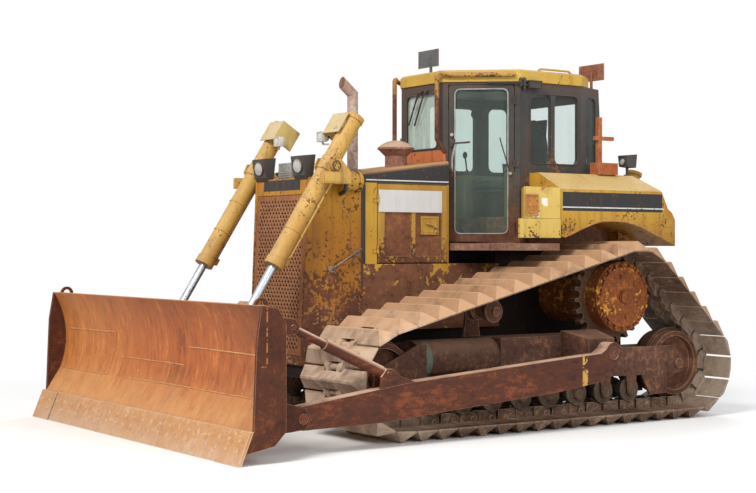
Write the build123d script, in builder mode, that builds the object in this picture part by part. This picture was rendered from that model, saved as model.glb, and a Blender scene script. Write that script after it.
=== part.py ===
"""Crawler bulldozer with a raised drive sprocket, wide swamp tracks, a straight blade on outside
push arms and a closed cab. Millimetres; +X forward, +Y to the machine's left, +Z up.
The origin is on the ground, at the middle of the machine's length and width.
Stations are distances forward of the rear idler's axle; fwd() turns one into an X."""
import os
from math import acos, asin, atan2, cos, degrees, hypot, pi, radians, sin, sqrt

from build123d import *

os.makedirs("parts", exist_ok=True)

# ------------------------------------------------------------------ driving dimensions
GAP = 0.3                     # seat between curved faces that rest on each other

# Tracks
GAUGE = 2225                  # between the track centres
SHOE_WIDTH = 915
PITCH = 203.2                 # chain pitch
SPROCKET_TEETH = 25           # twice the chain pitches round the sprocket
SPROCKET_SIZE = SPROCKET_TEETH * PITCH / 2 / (2 * pi)
IDLER_PATH = 375              # pin line's radius round an idler
RAIL_DEPTH = 62               # pin line to the rail that the rollers run on
SEAT_RISE = 50                # pin line to the shoe's seat
SHOE_BASE = 17                # pin line to the shoe's lower edge
SHOE_TIP = 112                # pin line to the ridge
IDLER_Z = IDLER_PATH + SHOE_TIP
IDLER_BASE = 3345             # rear idler to front idler, before the chain is drawn tight
SPROCKET_X, SPROCKET_Z = 735, SPROCKET_SIZE + 715.7
TRACK_Y = GAUGE / 2

# Lengths
DRAWBAR_REACH = 141           # drawbar behind the track's rear grousers
EDGE_STATION = 5062           # blade's cutting edge
REAR_STATION = -(IDLER_PATH + SHOE_TIP + DRAWBAR_REACH)
AFT = -(EDGE_STATION + REAR_STATION) / 2

# Hull between the tracks
BODY_HALF = 500               # hood and radiator guard
CASE_HALF = BODY_HALF - 70    # main frame and rear case
BELLY_Z = 440
DECK_Z, DECK_THICK = 1600, 60
PANEL = 25                    # their plate
GUARD_AFT, GUARD_BEND, GUARD_FRONT = 3025, 3385, 3580
GUARD_LEAN = 2.6              # degrees that the guard's front leans back
GUARD_Z = (560, 2225)
GUARD_NOSE = 2160             # the guard's top slopes down to this at the front
HOOD_AFT, HOOD_RISE = 2070, 120
DOOR_Z = (1430, 2120)         # engine doors
DOOR_AFT, DOOR_FRONT = 2120, 2875

# Cab
CAB_FRONT = (2035, 330)       # station and half width of each corner
CAB_MIDDLE = (1515, 790)
CAB_AFT = (775, 790)
CAB_REAR = (296, 596)
WALL = 45
CAB_TOP = 3072                # over the plate on the walls
ROOF_TOP = 3182
ROOF_REAR = (560, 640)        # the roof stops short of the rear wall

# Blade and its linkage
TRUNNION = (1245, 655)        # station and height of the push arms' pivot
ARM_Y = (TRACK_Y + SHOE_WIDTH / 2 + 42, TRACK_Y + SHOE_WIDTH / 2 + 170)
LIFT_PIVOT = (3455, 2250)     # lift cylinder's trunnion
LIFT_PIN = (EDGE_STATION - 562, 612)  # rod eye's pin on the blade
LIFT_Y = BODY_HALF + 110
BLADE_HALF = ARM_Y[1] + 210


def fwd(station):
    """X of a station measured forward of the rear idler's axle."""
    return AFT + station


def side_plane(y):
    """Sketch plane facing -Y at this Y: sketch x is X, sketch y is Z, and extrude() goes towards -Y."""
    return Plane(origin=(0, y, 0), x_dir=(1, 0, 0), z_dir=(0, -1, 0))


def outline(points):
    """Face with these corners, given as (station, height)."""
    return Polygon(*[(fwd(s), z) for s, z in points], align=None)


def plan(points):
    """Face with these corners, given as (station, y)."""
    return Polygon(*[(fwd(s), y) for s, y in points], align=None)


def across(points):
    """Face with these corners, given as (y, height)."""
    return Polygon(*points, align=None)


def save(name, part):
    part.label = name
    export_step(part, f"parts/{name}.step")


def save_pair(stem, left):
    """The left piece, and its mirror image on the right."""
    save(f"{stem}_left", left)
    save(f"{stem}_right", mirror(left, about=Plane.XZ))


KNUCKLE, HINGE_PIN = 11, 6


def hinge(axis, out, heights, leaf=46):
    """Fixed and moving halves of the hinges on an axis. On its plane x runs over the door, z along the pin,
    and out is the sign of y on the open side."""
    halves = []
    for moving, foot in [(False, -36), (True, 2)]:
        with BuildPart() as half:
            for height in heights:
                with BuildSketch(axis.offset(height + foot)):
                    Circle(KNUCKLE)
                    with Locations(((leaf / 2 if moving else -leaf / 2), -out * (KNUCKLE - 3))):
                        Rectangle(leaf, 6)
                    if moving:
                        Circle(HINGE_PIN + GAP, mode=Mode.SUBTRACT)
                extrude(amount=34)
                if not moving:
                    with BuildSketch(axis.offset(height - 2)):
                        Circle(HINGE_PIN)
                    extrude(amount=42)
        halves.append(half.part)
    return halves


# ------------------------------------------------------------------ the chain's path
def tangent_normal(a, ra, b, rb):
    """Outward normal of the straight run that leaves circle a for circle b, the chain going clockwise."""
    dx, dz = b[0] - a[0], b[1] - a[1]
    length = hypot(dx, dz)
    lean = asin((ra - rb) / length)
    ux, uz = dx / length, dz / length
    return ux * sin(lean) - uz * cos(lean), uz * sin(lean) + ux * cos(lean)


def chain_runs(front_x):
    """Runs of the pin line from the sprocket's top onward: (kind, length, data)."""
    wheels = [((SPROCKET_X, SPROCKET_Z), SPROCKET_SIZE), ((front_x, IDLER_Z), IDLER_PATH),
              ((0, IDLER_Z), IDLER_PATH)]
    normals = [tangent_normal(*wheels[i], *wheels[(i + 1) % 3]) for i in range(3)]
    runs = []
    for i in range(3):
        (centre, radius), (nx, nz) = wheels[i], normals[i]
        into = normals[i - 1]
        start, end = atan2(into[1], into[0]), atan2(nz, nx)
        sweep = (start - end) % (2 * pi)
        runs.append(("arc", radius * sweep, (centre, radius, start)))
        nxt, nxt_radius = wheels[(i + 1) % 3]
        p = (centre[0] + radius * nx, centre[1] + radius * nz)
        q = (nxt[0] + nxt_radius * nx, nxt[1] + nxt_radius * nz)
        runs.append(("line", hypot(q[0] - p[0], q[1] - p[1]), (p, q)))
    return runs


def path_length(front_x):
    return sum(run[1] for run in chain_runs(front_x))


def tight_front_idler():
    """Front idler's station that closes the chain on whole links, as the track adjuster sets it."""
    links = round(path_length(IDLER_BASE) / PITCH)
    low, high = IDLER_BASE - PITCH, IDLER_BASE + PITCH
    for _ in range(50):
        middle = (low + high) / 2
        low, high = (middle, high) if path_length(middle) < links * PITCH else (low, middle)
    return links, middle


LINKS, FRONT_IDLER_X = tight_front_idler()
RUNS = chain_runs(FRONT_IDLER_X)
SPROCKET_START = RUNS[0][2][2]     # angle at which the chain comes onto the sprocket
FIRST_PIN = RUNS[0][1] / 2         # along the path: a pin at the middle of the sprocket's wrap


def on_path(distance):
    """(station, height) of the pin line at this distance along it."""
    distance %= sum(run[1] for run in RUNS)
    for kind, length, data in RUNS:
        if distance <= length:
            break
        distance -= length
    if kind == "arc":
        centre, radius, start = data
        angle = start - distance / radius
        return centre[0] + radius * cos(angle), centre[1] + radius * sin(angle)
    (x0, z0), (x1, z1) = data
    share = distance / length
    return x0 + (x1 - x0) * share, z0 + (z1 - z0) * share


# ------------------------------------------------------------------ track links and shoes
LINK_PLATE = (60, 97, 130)    # across the chain: inner face, overlap, outer face
LINK_END = 46
BUSH_RADIUS, PIN_RADIUS = 31, 20
SHOE_HALF = 97
SHOE_LIP = 10
RIDGE_HALF = 9
RIDGE_CUT = 70                # how far the ridge stops short of the shoe's ends
SHOE_POCKET = LINK_PLATE[2] + 6       # the shoe is relieved over its link

# One link: on each side a bar that steps out at mid length, its bush and pin ends, and the triangular shoe
# on its seat. Local x runs along the chain, local z points away from the loop.
with BuildPart() as link:
    inner, lap, outer = LINK_PLATE
    waist = (PITCH / 2 - 28, PITCH / 2 + 28)
    near_eye = (0, [(0, -LINK_END), (30, -RAIL_DEPTH), (waist[1], -RAIL_DEPTH), (waist[1], SEAT_RISE),
                    (30, SEAT_RISE),
                    (0, LINK_END)])
    far_eye = (PITCH, [(PITCH, -LINK_END), (PITCH - 30, -RAIL_DEPTH), (waist[0], -RAIL_DEPTH),
                       (waist[0], SEAT_RISE),
                       (PITCH - 30, SEAT_RISE), (PITCH, LINK_END)])
    step = (None, [(waist[0], -RAIL_DEPTH), (waist[1], -RAIL_DEPTH), (waist[1], SEAT_RISE),
                   (waist[0], SEAT_RISE)])
    for (eye, shape), y0, y1 in [(near_eye, inner, lap), (step, inner, outer), (far_eye, lap + GAP, outer)]:
        for top in (y1, -y0):
            with BuildSketch(side_plane(top)):
                Polygon(*shape, align=None)
                if eye is not None:
                    with Locations((eye, 0)):
                        Circle(LINK_END)
            extrude(amount=y1 - y0)
    with BuildSketch(side_plane(inner)):
        Circle(BUSH_RADIUS)
    extrude(amount=2 * inner)
    for top in (outer + 4, -outer):
        with BuildSketch(side_plane(top)):
            with Locations((PITCH, 0)):
                Circle(PIN_RADIUS)
        extrude(amount=4)

with BuildPart() as shoe:
    half = SHOE_WIDTH / 2
    with BuildSketch(side_plane(half)):
        with Locations((PITCH / 2, 0)):
            Polygon((-SHOE_HALF, SHOE_BASE), (SHOE_HALF, SHOE_BASE), (SHOE_HALF, SHOE_BASE + SHOE_LIP),
                    (RIDGE_HALF, SHOE_TIP), (-RIDGE_HALF, SHOE_TIP), (-SHOE_HALF,
                                                                      SHOE_BASE + SHOE_LIP), align=None)
    extrude(amount=SHOE_WIDTH)
    with BuildSketch(Plane.YZ):
        across([(-half, 0), (half, 0), (half, SHOE_BASE + SHOE_LIP), (half - RIDGE_CUT, SHOE_TIP + 1),
                (-half + RIDGE_CUT, SHOE_TIP + 1), (-half, SHOE_BASE + SHOE_LIP)])
    extrude(amount=PITCH, mode=Mode.INTERSECT)
    with Locations((PITCH / 2, 0, 0)):
        Box(2 * PITCH, 2 * SHOE_POCKET, 2 * SEAT_RISE, mode=Mode.SUBTRACT)

with BuildPart() as shod_link:
    add(link.part)
    add(shoe.part)

link_places = []
for i in range(LINKS):
    (x0, z0), (x1, z1) = on_path(FIRST_PIN + i * PITCH), on_path(FIRST_PIN + (i + 1) * PITCH)
    tx, tz = x1 - x0, z1 - z0
    link_places.append(Plane(origin=(fwd(x0), TRACK_Y, z0), x_dir=(tx, 0, tz), z_dir=(-tz, 0, tx)))

with BuildPart() as track:
    with Locations(*link_places):
        add(shod_link.part)
save("track_left", track.part)
save("track_right", mirror(track.part, about=Plane.XZ))
print("links", LINKS, "front idler", round(FRONT_IDLER_X, 1), "track solids", len(track.part.solids()))

# ------------------------------------------------------------------ sprockets, idlers, rollers
HUB_RADIUS = 318
SPROCKET_HALF = 36
TOOTH_TIP = 28                # tooth beyond the pin line
with BuildPart() as sprockets:
    with BuildSketch(side_plane(TRACK_Y + SPROCKET_HALF)):
        with Locations((fwd(SPROCKET_X), SPROCKET_Z)):
            Circle(SPROCKET_SIZE + TOOTH_TIP)
            Circle(HUB_RADIUS + GAP, mode=Mode.SUBTRACT)
            first_valley = degrees(SPROCKET_START - FIRST_PIN / SPROCKET_SIZE)
            with PolarLocations(SPROCKET_SIZE, SPROCKET_TEETH, start_angle=first_valley):
                Circle(BUSH_RADIUS + 3, mode=Mode.SUBTRACT)
                Polygon((0, -BUSH_RADIUS - 3), (0, BUSH_RADIUS + 3), (60, BUSH_RADIUS + 14),
                        (60, -BUSH_RADIUS - 14),
                        align=None, mode=Mode.SUBTRACT)
    extrude(amount=2 * SPROCKET_HALF)
    mirror(about=Plane.XZ)
save("sprockets", sprockets.part)

HUB_OUTER_Y = 1300
AXLE_RADIUS = 250
RING_BOLTS = 24
with BuildPart() as final_drives:
    with BuildSketch(side_plane(HUB_OUTER_Y)):
        with Locations((fwd(SPROCKET_X), SPROCKET_Z)):
            Circle(HUB_RADIUS)
    extrude(amount=HUB_OUTER_Y - (TRACK_Y - 150))
    with BuildSketch(side_plane(TRACK_Y - 150)):
        with Locations((fwd(SPROCKET_X), SPROCKET_Z)):
            Circle(AXLE_RADIUS)
    extrude(amount=TRACK_Y - 150 - CASE_HALF)
    with BuildSketch(side_plane(HUB_OUTER_Y + 22)):
        with Locations((fwd(SPROCKET_X), SPROCKET_Z)):
            Circle(HUB_RADIUS - 45)
    extrude(amount=22)
    with BuildSketch(side_plane(HUB_OUTER_Y + 36)):
        with Locations((fwd(SPROCKET_X), SPROCKET_Z)):
            Circle(60)
    extrude(amount=14)
    with BuildSketch(side_plane(HUB_OUTER_Y + 14)):
        with Locations((fwd(SPROCKET_X), SPROCKET_Z)):
            with PolarLocations(HUB_RADIUS - 22, RING_BOLTS):
                Circle(12)
    extrude(amount=14)
    mirror(about=Plane.XZ)
save("final_drives", final_drives.part)

# Idlers: a tread under each rail and a guide between them
IDLER_TREAD = IDLER_PATH * cos(PITCH / 2 / IDLER_PATH) - RAIL_DEPTH - 2
IDLER_SHAFT = 45
FORK_Y = (140, 168)           # fork plates, from the chain's centre
idler_profile = [(0, 0), (0, IDLER_TREAD + 30), (45, IDLER_TREAD + 30), (52, IDLER_TREAD),
                 (128, IDLER_TREAD),
                 (128, IDLER_TREAD - 45), (70, IDLER_TREAD - 55), (70, 110), (FORK_Y[0] - 4, 95),
                 (FORK_Y[0] - 4, IDLER_SHAFT), (FORK_Y[1] + 18, IDLER_SHAFT), (FORK_Y[1] + 18, 0)]


def turned(profile, station, height):
    """Solid of revolution about a cross axle; the profile is (distance from the chain's centre, radius)."""
    with BuildPart() as wheel:
        with BuildSketch(Plane.YZ):
            Polygon(*profile, align=None)
            Polygon(*[(-y, r) for y, r in profile], align=None)
        revolve(axis=Axis.Y)
    return wheel.part.moved(Location((fwd(station), TRACK_Y, height)))


with BuildPart() as idlers:
    add(turned(idler_profile, 0, IDLER_Z))
    add(turned(idler_profile, FRONT_IDLER_X, IDLER_Z))
    mirror(about=Plane.XZ)
save("idlers", idlers.part)

RAIL_Z = SHOE_TIP + RAIL_DEPTH
ROLLER_RADIUS = 95
ROLLER_Z = RAIL_Z + ROLLER_RADIUS + GAP
ROLLER_FLANGE = ROLLER_RADIUS + 18
FRAME_Z = 400                 # underside of the track frame
HANGER_Y = (150, 172)         # roller hangers, from the chain's centre
ROLLER_SHAFT = 34
ROLLERS = 8
FIRST_ROLLER, LAST_ROLLER = 600, 2830
roller_profile = [(0, 0), (0, 62), (56, 62), (60, ROLLER_RADIUS), (130, ROLLER_RADIUS),
                  (133, ROLLER_FLANGE),
                  (144, ROLLER_FLANGE - 6), (146, ROLLER_SHAFT), (HANGER_Y[1] + 6,
                                                                  ROLLER_SHAFT), (HANGER_Y[1] + 6, 0)]
roller_stations = [FIRST_ROLLER + i * (LAST_ROLLER - FIRST_ROLLER) / (ROLLERS - 1) for i in range(ROLLERS)]
with BuildPart() as track_rollers:
    for station in roller_stations:
        add(turned(roller_profile, station, ROLLER_Z))
    mirror(about=Plane.XZ)
save("track_rollers", track_rollers.part)

CARRIER_X = 2190
CARRIER_RADIUS = 80
(top_x0, top_z0), (top_x1, top_z1) = RUNS[1][2]
top_slope = (top_z1 - top_z0) / (top_x1 - top_x0)
CARRIER_Z = (top_z0 + (CARRIER_X - top_x0) * top_slope
             - (RAIL_DEPTH + CARRIER_RADIUS + 1) * sqrt(1 + top_slope**2))
carrier_profile = [(0, 0), (0, 55), (56, 55), (60, CARRIER_RADIUS), (132, CARRIER_RADIUS),
                   (136, CARRIER_RADIUS + 14),
                   (150, CARRIER_RADIUS + 14), (150, 40), (190, 40), (190, 0)]
FRAME_TOP = 790
with BuildPart() as carrier_rollers:
    add(turned(carrier_profile, CARRIER_X, CARRIER_Z))
    with BuildSketch(side_plane(TRACK_Y - 156)):
        outline([(CARRIER_X - 90, FRAME_TOP), (CARRIER_X + 90, FRAME_TOP), (CARRIER_X + 48, CARRIER_Z + 45),
                 (CARRIER_X - 48, CARRIER_Z + 45)])
    extrude(amount=30)
    mirror(about=Plane.XZ)
save("carrier_rollers", carrier_rollers.part)

# ------------------------------------------------------------------ track frames
FRAME_HALF = 172
RECOIL_RADIUS = 165
RECOIL = (2130, FRONT_IDLER_X - IDLER_TREAD - 55)      # recoil spring housing, from and to
RECOIL_Z = 625
FRAME_AFT = 420               # where the box beam ends behind
with BuildPart() as track_frames:
    with BuildSketch(side_plane(TRACK_Y + FRAME_HALF)):
        outline([(FRAME_AFT, FRAME_Z), (RECOIL[1], FRAME_Z), (RECOIL[1], 480), (RECOIL[0], 520),
                 (RECOIL[0], FRAME_TOP),
                 (1020, FRAME_TOP), (900, 655), (FRAME_AFT, 655)])
    extrude(amount=2 * FRAME_HALF)
    with BuildSketch(Plane.YZ.offset(fwd(RECOIL[0]))):
        with Locations((TRACK_Y, RECOIL_Z)):
            Circle(RECOIL_RADIUS)
    extrude(amount=RECOIL[1] - RECOIL[0])
    for y0, y1 in [HANGER_Y, (-HANGER_Y[1], -HANGER_Y[0])]:
        with BuildSketch(side_plane(TRACK_Y + y1)):
            for station in roller_stations:
                outline([(station - 62, FRAME_Z), (station + 62, FRAME_Z), (station + 46, ROLLER_Z - 30),
                         (station + 20, ROLLER_Z - 52), (station - 20, ROLLER_Z - 52), (station - 46,
                                                                                        ROLLER_Z - 30)])
            with Locations(*[(fwd(station), ROLLER_Z) for station in roller_stations]):
                Circle(ROLLER_SHAFT + GAP, mode=Mode.SUBTRACT)
        extrude(amount=y1 - y0)
    for y0, y1 in [FORK_Y, (-FORK_Y[1], -FORK_Y[0])]:
        with BuildSketch(side_plane(TRACK_Y + y1)):
            outline([(FRAME_AFT, 655), (75, 655), (-45, 560), (-60, 440), (140, 340), (160, 215),
                     (360, 215),
                     (470, FRAME_Z), (FRAME_AFT + 60, FRAME_Z + 20)])
            with Locations((fwd(0), IDLER_Z)):
                Circle(85)
                Circle(IDLER_SHAFT + GAP, mode=Mode.SUBTRACT)
        extrude(amount=y1 - y0)
        with BuildSketch(side_plane(TRACK_Y + y1)):
            outline([(RECOIL[1] - 60, 760), (RECOIL[1] + 20, 760), (FRONT_IDLER_X + 40, 590),
                     (FRONT_IDLER_X + 90, 440),
                     (FRONT_IDLER_X - 60, 390), (2900, FRAME_Z + 10), (2900, 480), (RECOIL[1] - 60, 500)])
            with Locations((fwd(FRONT_IDLER_X), IDLER_Z)):
                Circle(85)
                Circle(IDLER_SHAFT + GAP, mode=Mode.SUBTRACT)
        extrude(amount=y1 - y0)
    mirror(about=Plane.XZ)
save("track_frames", track_frames.part)

TRUNNION_RADIUS = 55
with BuildPart() as trunnions:
    with BuildSketch(side_plane(ARM_Y[1] - 6)):
        with Locations((fwd(TRUNNION[0]), TRUNNION[1])):
            Circle(TRUNNION_RADIUS)
    extrude(amount=ARM_Y[1] - 6 - (TRACK_Y + FRAME_HALF))
    with BuildSketch(side_plane(ARM_Y[0] - 30)):
        with Locations((fwd(TRUNNION[0]), TRUNNION[1])):
            Rectangle(300, 230)
    extrude(amount=ARM_Y[0] - 30 - (TRACK_Y + FRAME_HALF), taper=-12)
    mirror(about=Plane.XZ)
save("trunnions", trunnions.part)

# Pivot shaft and equaliser bar, which tie the track frames to the hull
PIVOT_X, PIVOT_Z = 1180, 560
EQUALISER_X = 2780
with BuildPart() as cross_beams:
    for side in (1, -1):
        with BuildSketch(side_plane(side * (TRACK_Y - FRAME_HALF) if side > 0 else -CASE_HALF)):
            with Locations((fwd(PIVOT_X), PIVOT_Z)):
                Circle(75)
        extrude(amount=TRACK_Y - FRAME_HALF - CASE_HALF)
        with BuildSketch(side_plane(side * (TRACK_Y - FRAME_HALF) if side > 0 else -CASE_HALF)):
            with Locations((fwd(EQUALISER_X), 420)):
                Rectangle(120, 110)
        extrude(amount=TRACK_Y - FRAME_HALF - CASE_HALF)
save("cross_beams", cross_beams.part)

# ------------------------------------------------------------------ hull
CASE_AFT, CASE_FRONT, CASE_TOP = -75, 1500, DECK_Z - DECK_THICK
RAIL_TOP = 900
with BuildPart() as main_frame:
    with BuildSketch(side_plane(CASE_HALF)):
        outline([(CASE_AFT + 60, 480), (CASE_FRONT, BELLY_Z), (CASE_FRONT, CASE_TOP), (120, CASE_TOP),
                 (CASE_AFT, 1300),
                 (CASE_AFT, 600)])
    extrude(amount=2 * CASE_HALF)
    with BuildSketch(side_plane(CASE_HALF)):
        outline([(CASE_FRONT, BELLY_Z), (GUARD_FRONT - 60, BELLY_Z), (GUARD_FRONT, BELLY_Z + 90),
                 (GUARD_FRONT, GUARD_Z[0]),
                 (GUARD_AFT, GUARD_Z[0]), (GUARD_AFT, RAIL_TOP), (CASE_FRONT, RAIL_TOP)])
    extrude(amount=2 * CASE_HALF)
    with BuildSketch(Plane.XY.offset(BELLY_Z + 40)):
        plan([(CASE_FRONT, -CASE_HALF + 60), (GUARD_FRONT - 120, -CASE_HALF + 60),
              (GUARD_FRONT - 120, CASE_HALF - 60),
              (CASE_FRONT, CASE_HALF - 60)])
    extrude(amount=RAIL_TOP, mode=Mode.SUBTRACT)
    for station in (2200, 2800):
        with Locations((fwd(station), 0, BELLY_Z + 110)):
            Box(100, 2 * CASE_HALF - 100, 140)
save("main_frame", main_frame.part)

with BuildPart() as engine_block:
    with BuildSketch(Plane.XY.offset(BELLY_Z + 180)):
        plan([(2150, -290), (2960, -290), (2960, 290), (2150, 290)])
    extrude(amount=1300)
save("engine_block", engine_block.part)

DRAWBAR_Z = 500
PIN_HOLE = 26
with BuildPart() as drawbar:
    with BuildSketch(side_plane(70)):
        outline([(REAR_STATION, DRAWBAR_Z - 50), (CASE_AFT + 60, DRAWBAR_Z - 50),
                 (CASE_AFT + 60, DRAWBAR_Z + 130),
                 (CASE_AFT - 120, DRAWBAR_Z + 130), (REAR_STATION + 220, DRAWBAR_Z + 50), (REAR_STATION,
                                                                                           DRAWBAR_Z + 50)])
    extrude(amount=140)
    with BuildSketch(Plane.XY.offset(DRAWBAR_Z + 50)):
        with Locations((fwd(REAR_STATION + 70), 0)):
            Circle(PIN_HOLE)
    extrude(amount=-100, mode=Mode.SUBTRACT)
    fillet(drawbar.edges().filter_by(Axis.Z).group_by(Axis.X)[0], radius=50)
    add(main_frame.part, mode=Mode.SUBTRACT)
save("drawbar", drawbar.part)

# ------------------------------------------------------------------ radiator guard, grille and lamps
GRILLE_HALF = BODY_HALF - 82
GRILLE_Z = (640, 2015)
GRILLE_THICK = 30


def guard_front(z):
    """Station of the guard's leaning front face at this height."""
    return GUARD_FRONT - (z - 1400) * sin(radians(GUARD_LEAN))


grille_mid = (GRILLE_Z[0] + GRILLE_Z[1]) / 2
grille_up = (-sin(radians(GUARD_LEAN)), 0, cos(radians(GUARD_LEAN)))
grille_out = (cos(radians(GUARD_LEAN)), 0, sin(radians(GUARD_LEAN)))
GRILLE_PLANE = Plane(origin=(fwd(guard_front(grille_mid)), 0, grille_mid), x_dir=(0, 1, 0),
                     z_dir=grille_out)
GRILLE_AXIS = Plane(origin=GRILLE_PLANE.offset(KNUCKLE).from_local_coords((GRILLE_HALF, 0, 0)),
                    x_dir=(0, -1, 0), z_dir=grille_up)
grille_hinge = hinge(GRILLE_AXIS, 1, (-480, 430), leaf=24)
with BuildPart() as radiator_guard:
    with BuildSketch(side_plane(BODY_HALF)):
        outline([(GUARD_AFT, GUARD_Z[0]), (guard_front(GUARD_Z[0]), GUARD_Z[0]),
                 (guard_front(GUARD_NOSE), GUARD_NOSE),
                 (GUARD_BEND - 170, GUARD_Z[1] - 4), (GUARD_AFT, GUARD_Z[1])])
    extrude(amount=2 * BODY_HALF)
    with BuildSketch(Plane.XY.offset(GUARD_Z[0])):
        plan([(GUARD_AFT, -BODY_HALF), (GUARD_BEND, -BODY_HALF), (GUARD_FRONT + 60, -BODY_HALF + 62),
              (GUARD_FRONT + 60, BODY_HALF - 62), (GUARD_BEND, BODY_HALF), (GUARD_AFT, BODY_HALF)])
    extrude(amount=GUARD_Z[1], mode=Mode.INTERSECT)
    with BuildSketch(Plane.XY.offset(GUARD_Z[0])):
        plan([(GUARD_AFT, -BODY_HALF + PANEL), (GUARD_BEND, -BODY_HALF + PANEL),
              (GUARD_FRONT - 90, -GRILLE_HALF),
              (GUARD_FRONT - 90, GRILLE_HALF), (GUARD_BEND, BODY_HALF - PANEL), (GUARD_AFT,
                                                                                 BODY_HALF - PANEL)])
    extrude(amount=GUARD_NOSE - 30 - GUARD_Z[0], mode=Mode.SUBTRACT)
    with Locations((fwd(GUARD_FRONT), 0, (GRILLE_Z[0] + GRILLE_Z[1]) / 2)):
        Box(400, 2 * GRILLE_HALF + 4, GRILLE_Z[1] - GRILLE_Z[0] + 4, mode=Mode.SUBTRACT)
    add(grille_hinge[0])
save("radiator_guard", radiator_guard.part)

# The grille is a framed perforated door that leans with the guard, hinged at its left edge.
GRILLE_HEIGHT = GRILLE_Z[1] - GRILLE_Z[0] - 6
HOLE_PITCH = (50, 66)
hole_columns = int((2 * GRILLE_HALF - 80) / HOLE_PITCH[0])
hole_rows = int((GRILLE_HEIGHT - 40) / HOLE_PITCH[1])
with BuildPart() as grille:
    with BuildSketch(GRILLE_PLANE):
        Rectangle(2 * GRILLE_HALF - 8, GRILLE_HEIGHT)
        for fewer in (0, 1):
            with GridLocations(*HOLE_PITCH, hole_columns - fewer, hole_rows - fewer):
                Polygon((-19, 0), (0, -26), (19, 0), (0, 26), align=None, mode=Mode.SUBTRACT)
    extrude(amount=-GRILLE_THICK)
    add(grille_hinge[1])
save("grille_door", grille.part)

with BuildPart() as radiator:
    with BuildSketch(Plane.XY.offset(GUARD_Z[0])):
        plan([(GUARD_AFT + 120, -BODY_HALF + PANEL), (GUARD_AFT + 260, -BODY_HALF + PANEL),
              (GUARD_AFT + 260, BODY_HALF - PANEL), (GUARD_AFT + 120, BODY_HALF - PANEL)])
    extrude(amount=GUARD_NOSE - 30 - GUARD_Z[0])
save("radiator", radiator.part)

LAMP_Y, LAMP_WIDE = BODY_HALF - 167, 200
with BuildPart() as front_lamps:
    for side in (1, -1):
        with BuildSketch(side_plane(side * LAMP_Y + LAMP_WIDE / 2)):
            outline([(3600, 2345), (3470, 2358), (3490, 2190), (3510, 2140), (3545, 2140), (3575, 2180)])
        extrude(amount=LAMP_WIDE)
    with BuildSketch(side_plane(110)):
        outline([(3425, 2140), (3520, 2140), (3515, 2300), (3430, 2300)])
    extrude(amount=220)
    add(radiator_guard.part, mode=Mode.SUBTRACT)
save("front_lamps", front_lamps.part)

# ------------------------------------------------------------------ hood and engine doors
HOOD_SIDE_Z = DOOR_Z[1] + 5


def hood_top(station):
    """The hood climbs from the radiator guard back to the cab."""
    return GUARD_Z[1] + HOOD_RISE * (GUARD_AFT - station) / (GUARD_AFT - HOOD_AFT)


HOOD_PLANE = Plane(origin=(fwd(GUARD_AFT), 0, GUARD_Z[1]), x_dir=(0, 1, 0),
                   z_dir=(HOOD_RISE, 0, GUARD_AFT - HOOD_AFT))
ENGINE_AXIS = Plane(origin=(fwd(DOOR_FRONT + 3), BODY_HALF + KNUCKLE, DOOR_Z[0]), x_dir=(-1, 0, 0),
                    z_dir=(0, 0, 1))
engine_hinge = hinge(ENGINE_AXIS, -1, (120, 560))


def on_hood(part):
    """What stands on the hood, cut off where the hood's top begins."""
    return split(part, bisect_by=HOOD_PLANE, keep=Keep.TOP)


with BuildPart() as hood:
    with BuildSketch(side_plane(BODY_HALF)):
        outline([(HOOD_AFT, HOOD_SIDE_Z), (GUARD_AFT, HOOD_SIDE_Z), (GUARD_AFT, GUARD_Z[1]),
                 (HOOD_AFT, hood_top(HOOD_AFT))])
    extrude(amount=2 * BODY_HALF)
    top_edges = hood.faces().sort_by(Axis.Z)[-1].edges().group_by(SortBy.LENGTH)[0]
    fillet(top_edges, radius=45)
    with BuildSketch(side_plane(BODY_HALF - PANEL)):
        outline([(HOOD_AFT + PANEL, HOOD_SIDE_Z - 1), (GUARD_AFT + 1, HOOD_SIDE_Z - 1),
                 (GUARD_AFT + 1, GUARD_Z[1] - PANEL),
                 (HOOD_AFT + PANEL, hood_top(HOOD_AFT) - PANEL)])
    extrude(amount=2 * (BODY_HALF - PANEL), mode=Mode.SUBTRACT)
    for side in (1, -1):
        for start, end in [(DOOR_FRONT + 6, GUARD_AFT), (HOOD_AFT, DOOR_AFT - 6)]:
            with BuildSketch(side_plane(BODY_HALF if side > 0 else -BODY_HALF + PANEL)):
                outline([(start, DOOR_Z[0] - 10), (end, DOOR_Z[0] - 10), (end, HOOD_SIDE_Z + 1),
                         (start, HOOD_SIDE_Z + 1)])
            extrude(amount=PANEL)
    add(engine_hinge[0])
    add(mirror(engine_hinge[0], about=Plane.XZ))
    # the rear corners are cut off, so that the cab doors swing past them
    with BuildSketch(Plane.XY.offset(DOOR_Z[0] - 20)):
        for side in (1, -1):
            plan([(HOOD_AFT - 1, side * (BODY_HALF - 56)), (HOOD_AFT + 32, side * (BODY_HALF + 1)),
                  (HOOD_AFT - 1, side * (BODY_HALF + 1))])
    extrude(amount=1200, mode=Mode.SUBTRACT)
save("hood", hood.part)

with BuildPart() as engine_door:
    with BuildSketch(side_plane(BODY_HALF)):
        outline([(DOOR_AFT, DOOR_Z[0]), (DOOR_FRONT, DOOR_Z[0]), (DOOR_FRONT, DOOR_Z[1]),
                 (DOOR_AFT, DOOR_Z[1])])
    extrude(amount=PANEL)
    door_wide, door_tall = DOOR_FRONT - DOOR_AFT, DOOR_Z[1] - DOOR_Z[0]
    with BuildSketch(side_plane(BODY_HALF)):
        with Locations((fwd(DOOR_FRONT - door_wide * 0.29), DOOR_Z[0] + door_tall * 0.36),
                       (fwd(DOOR_AFT + door_wide * 0.27), DOOR_Z[0] + door_tall * 0.36)):
            RectangleRounded(door_wide * 0.38, door_tall * 0.56, 15)
    extrude(amount=8, mode=Mode.SUBTRACT)
    add(engine_hinge[1])
save_pair("engine_door", engine_door.part)

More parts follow.
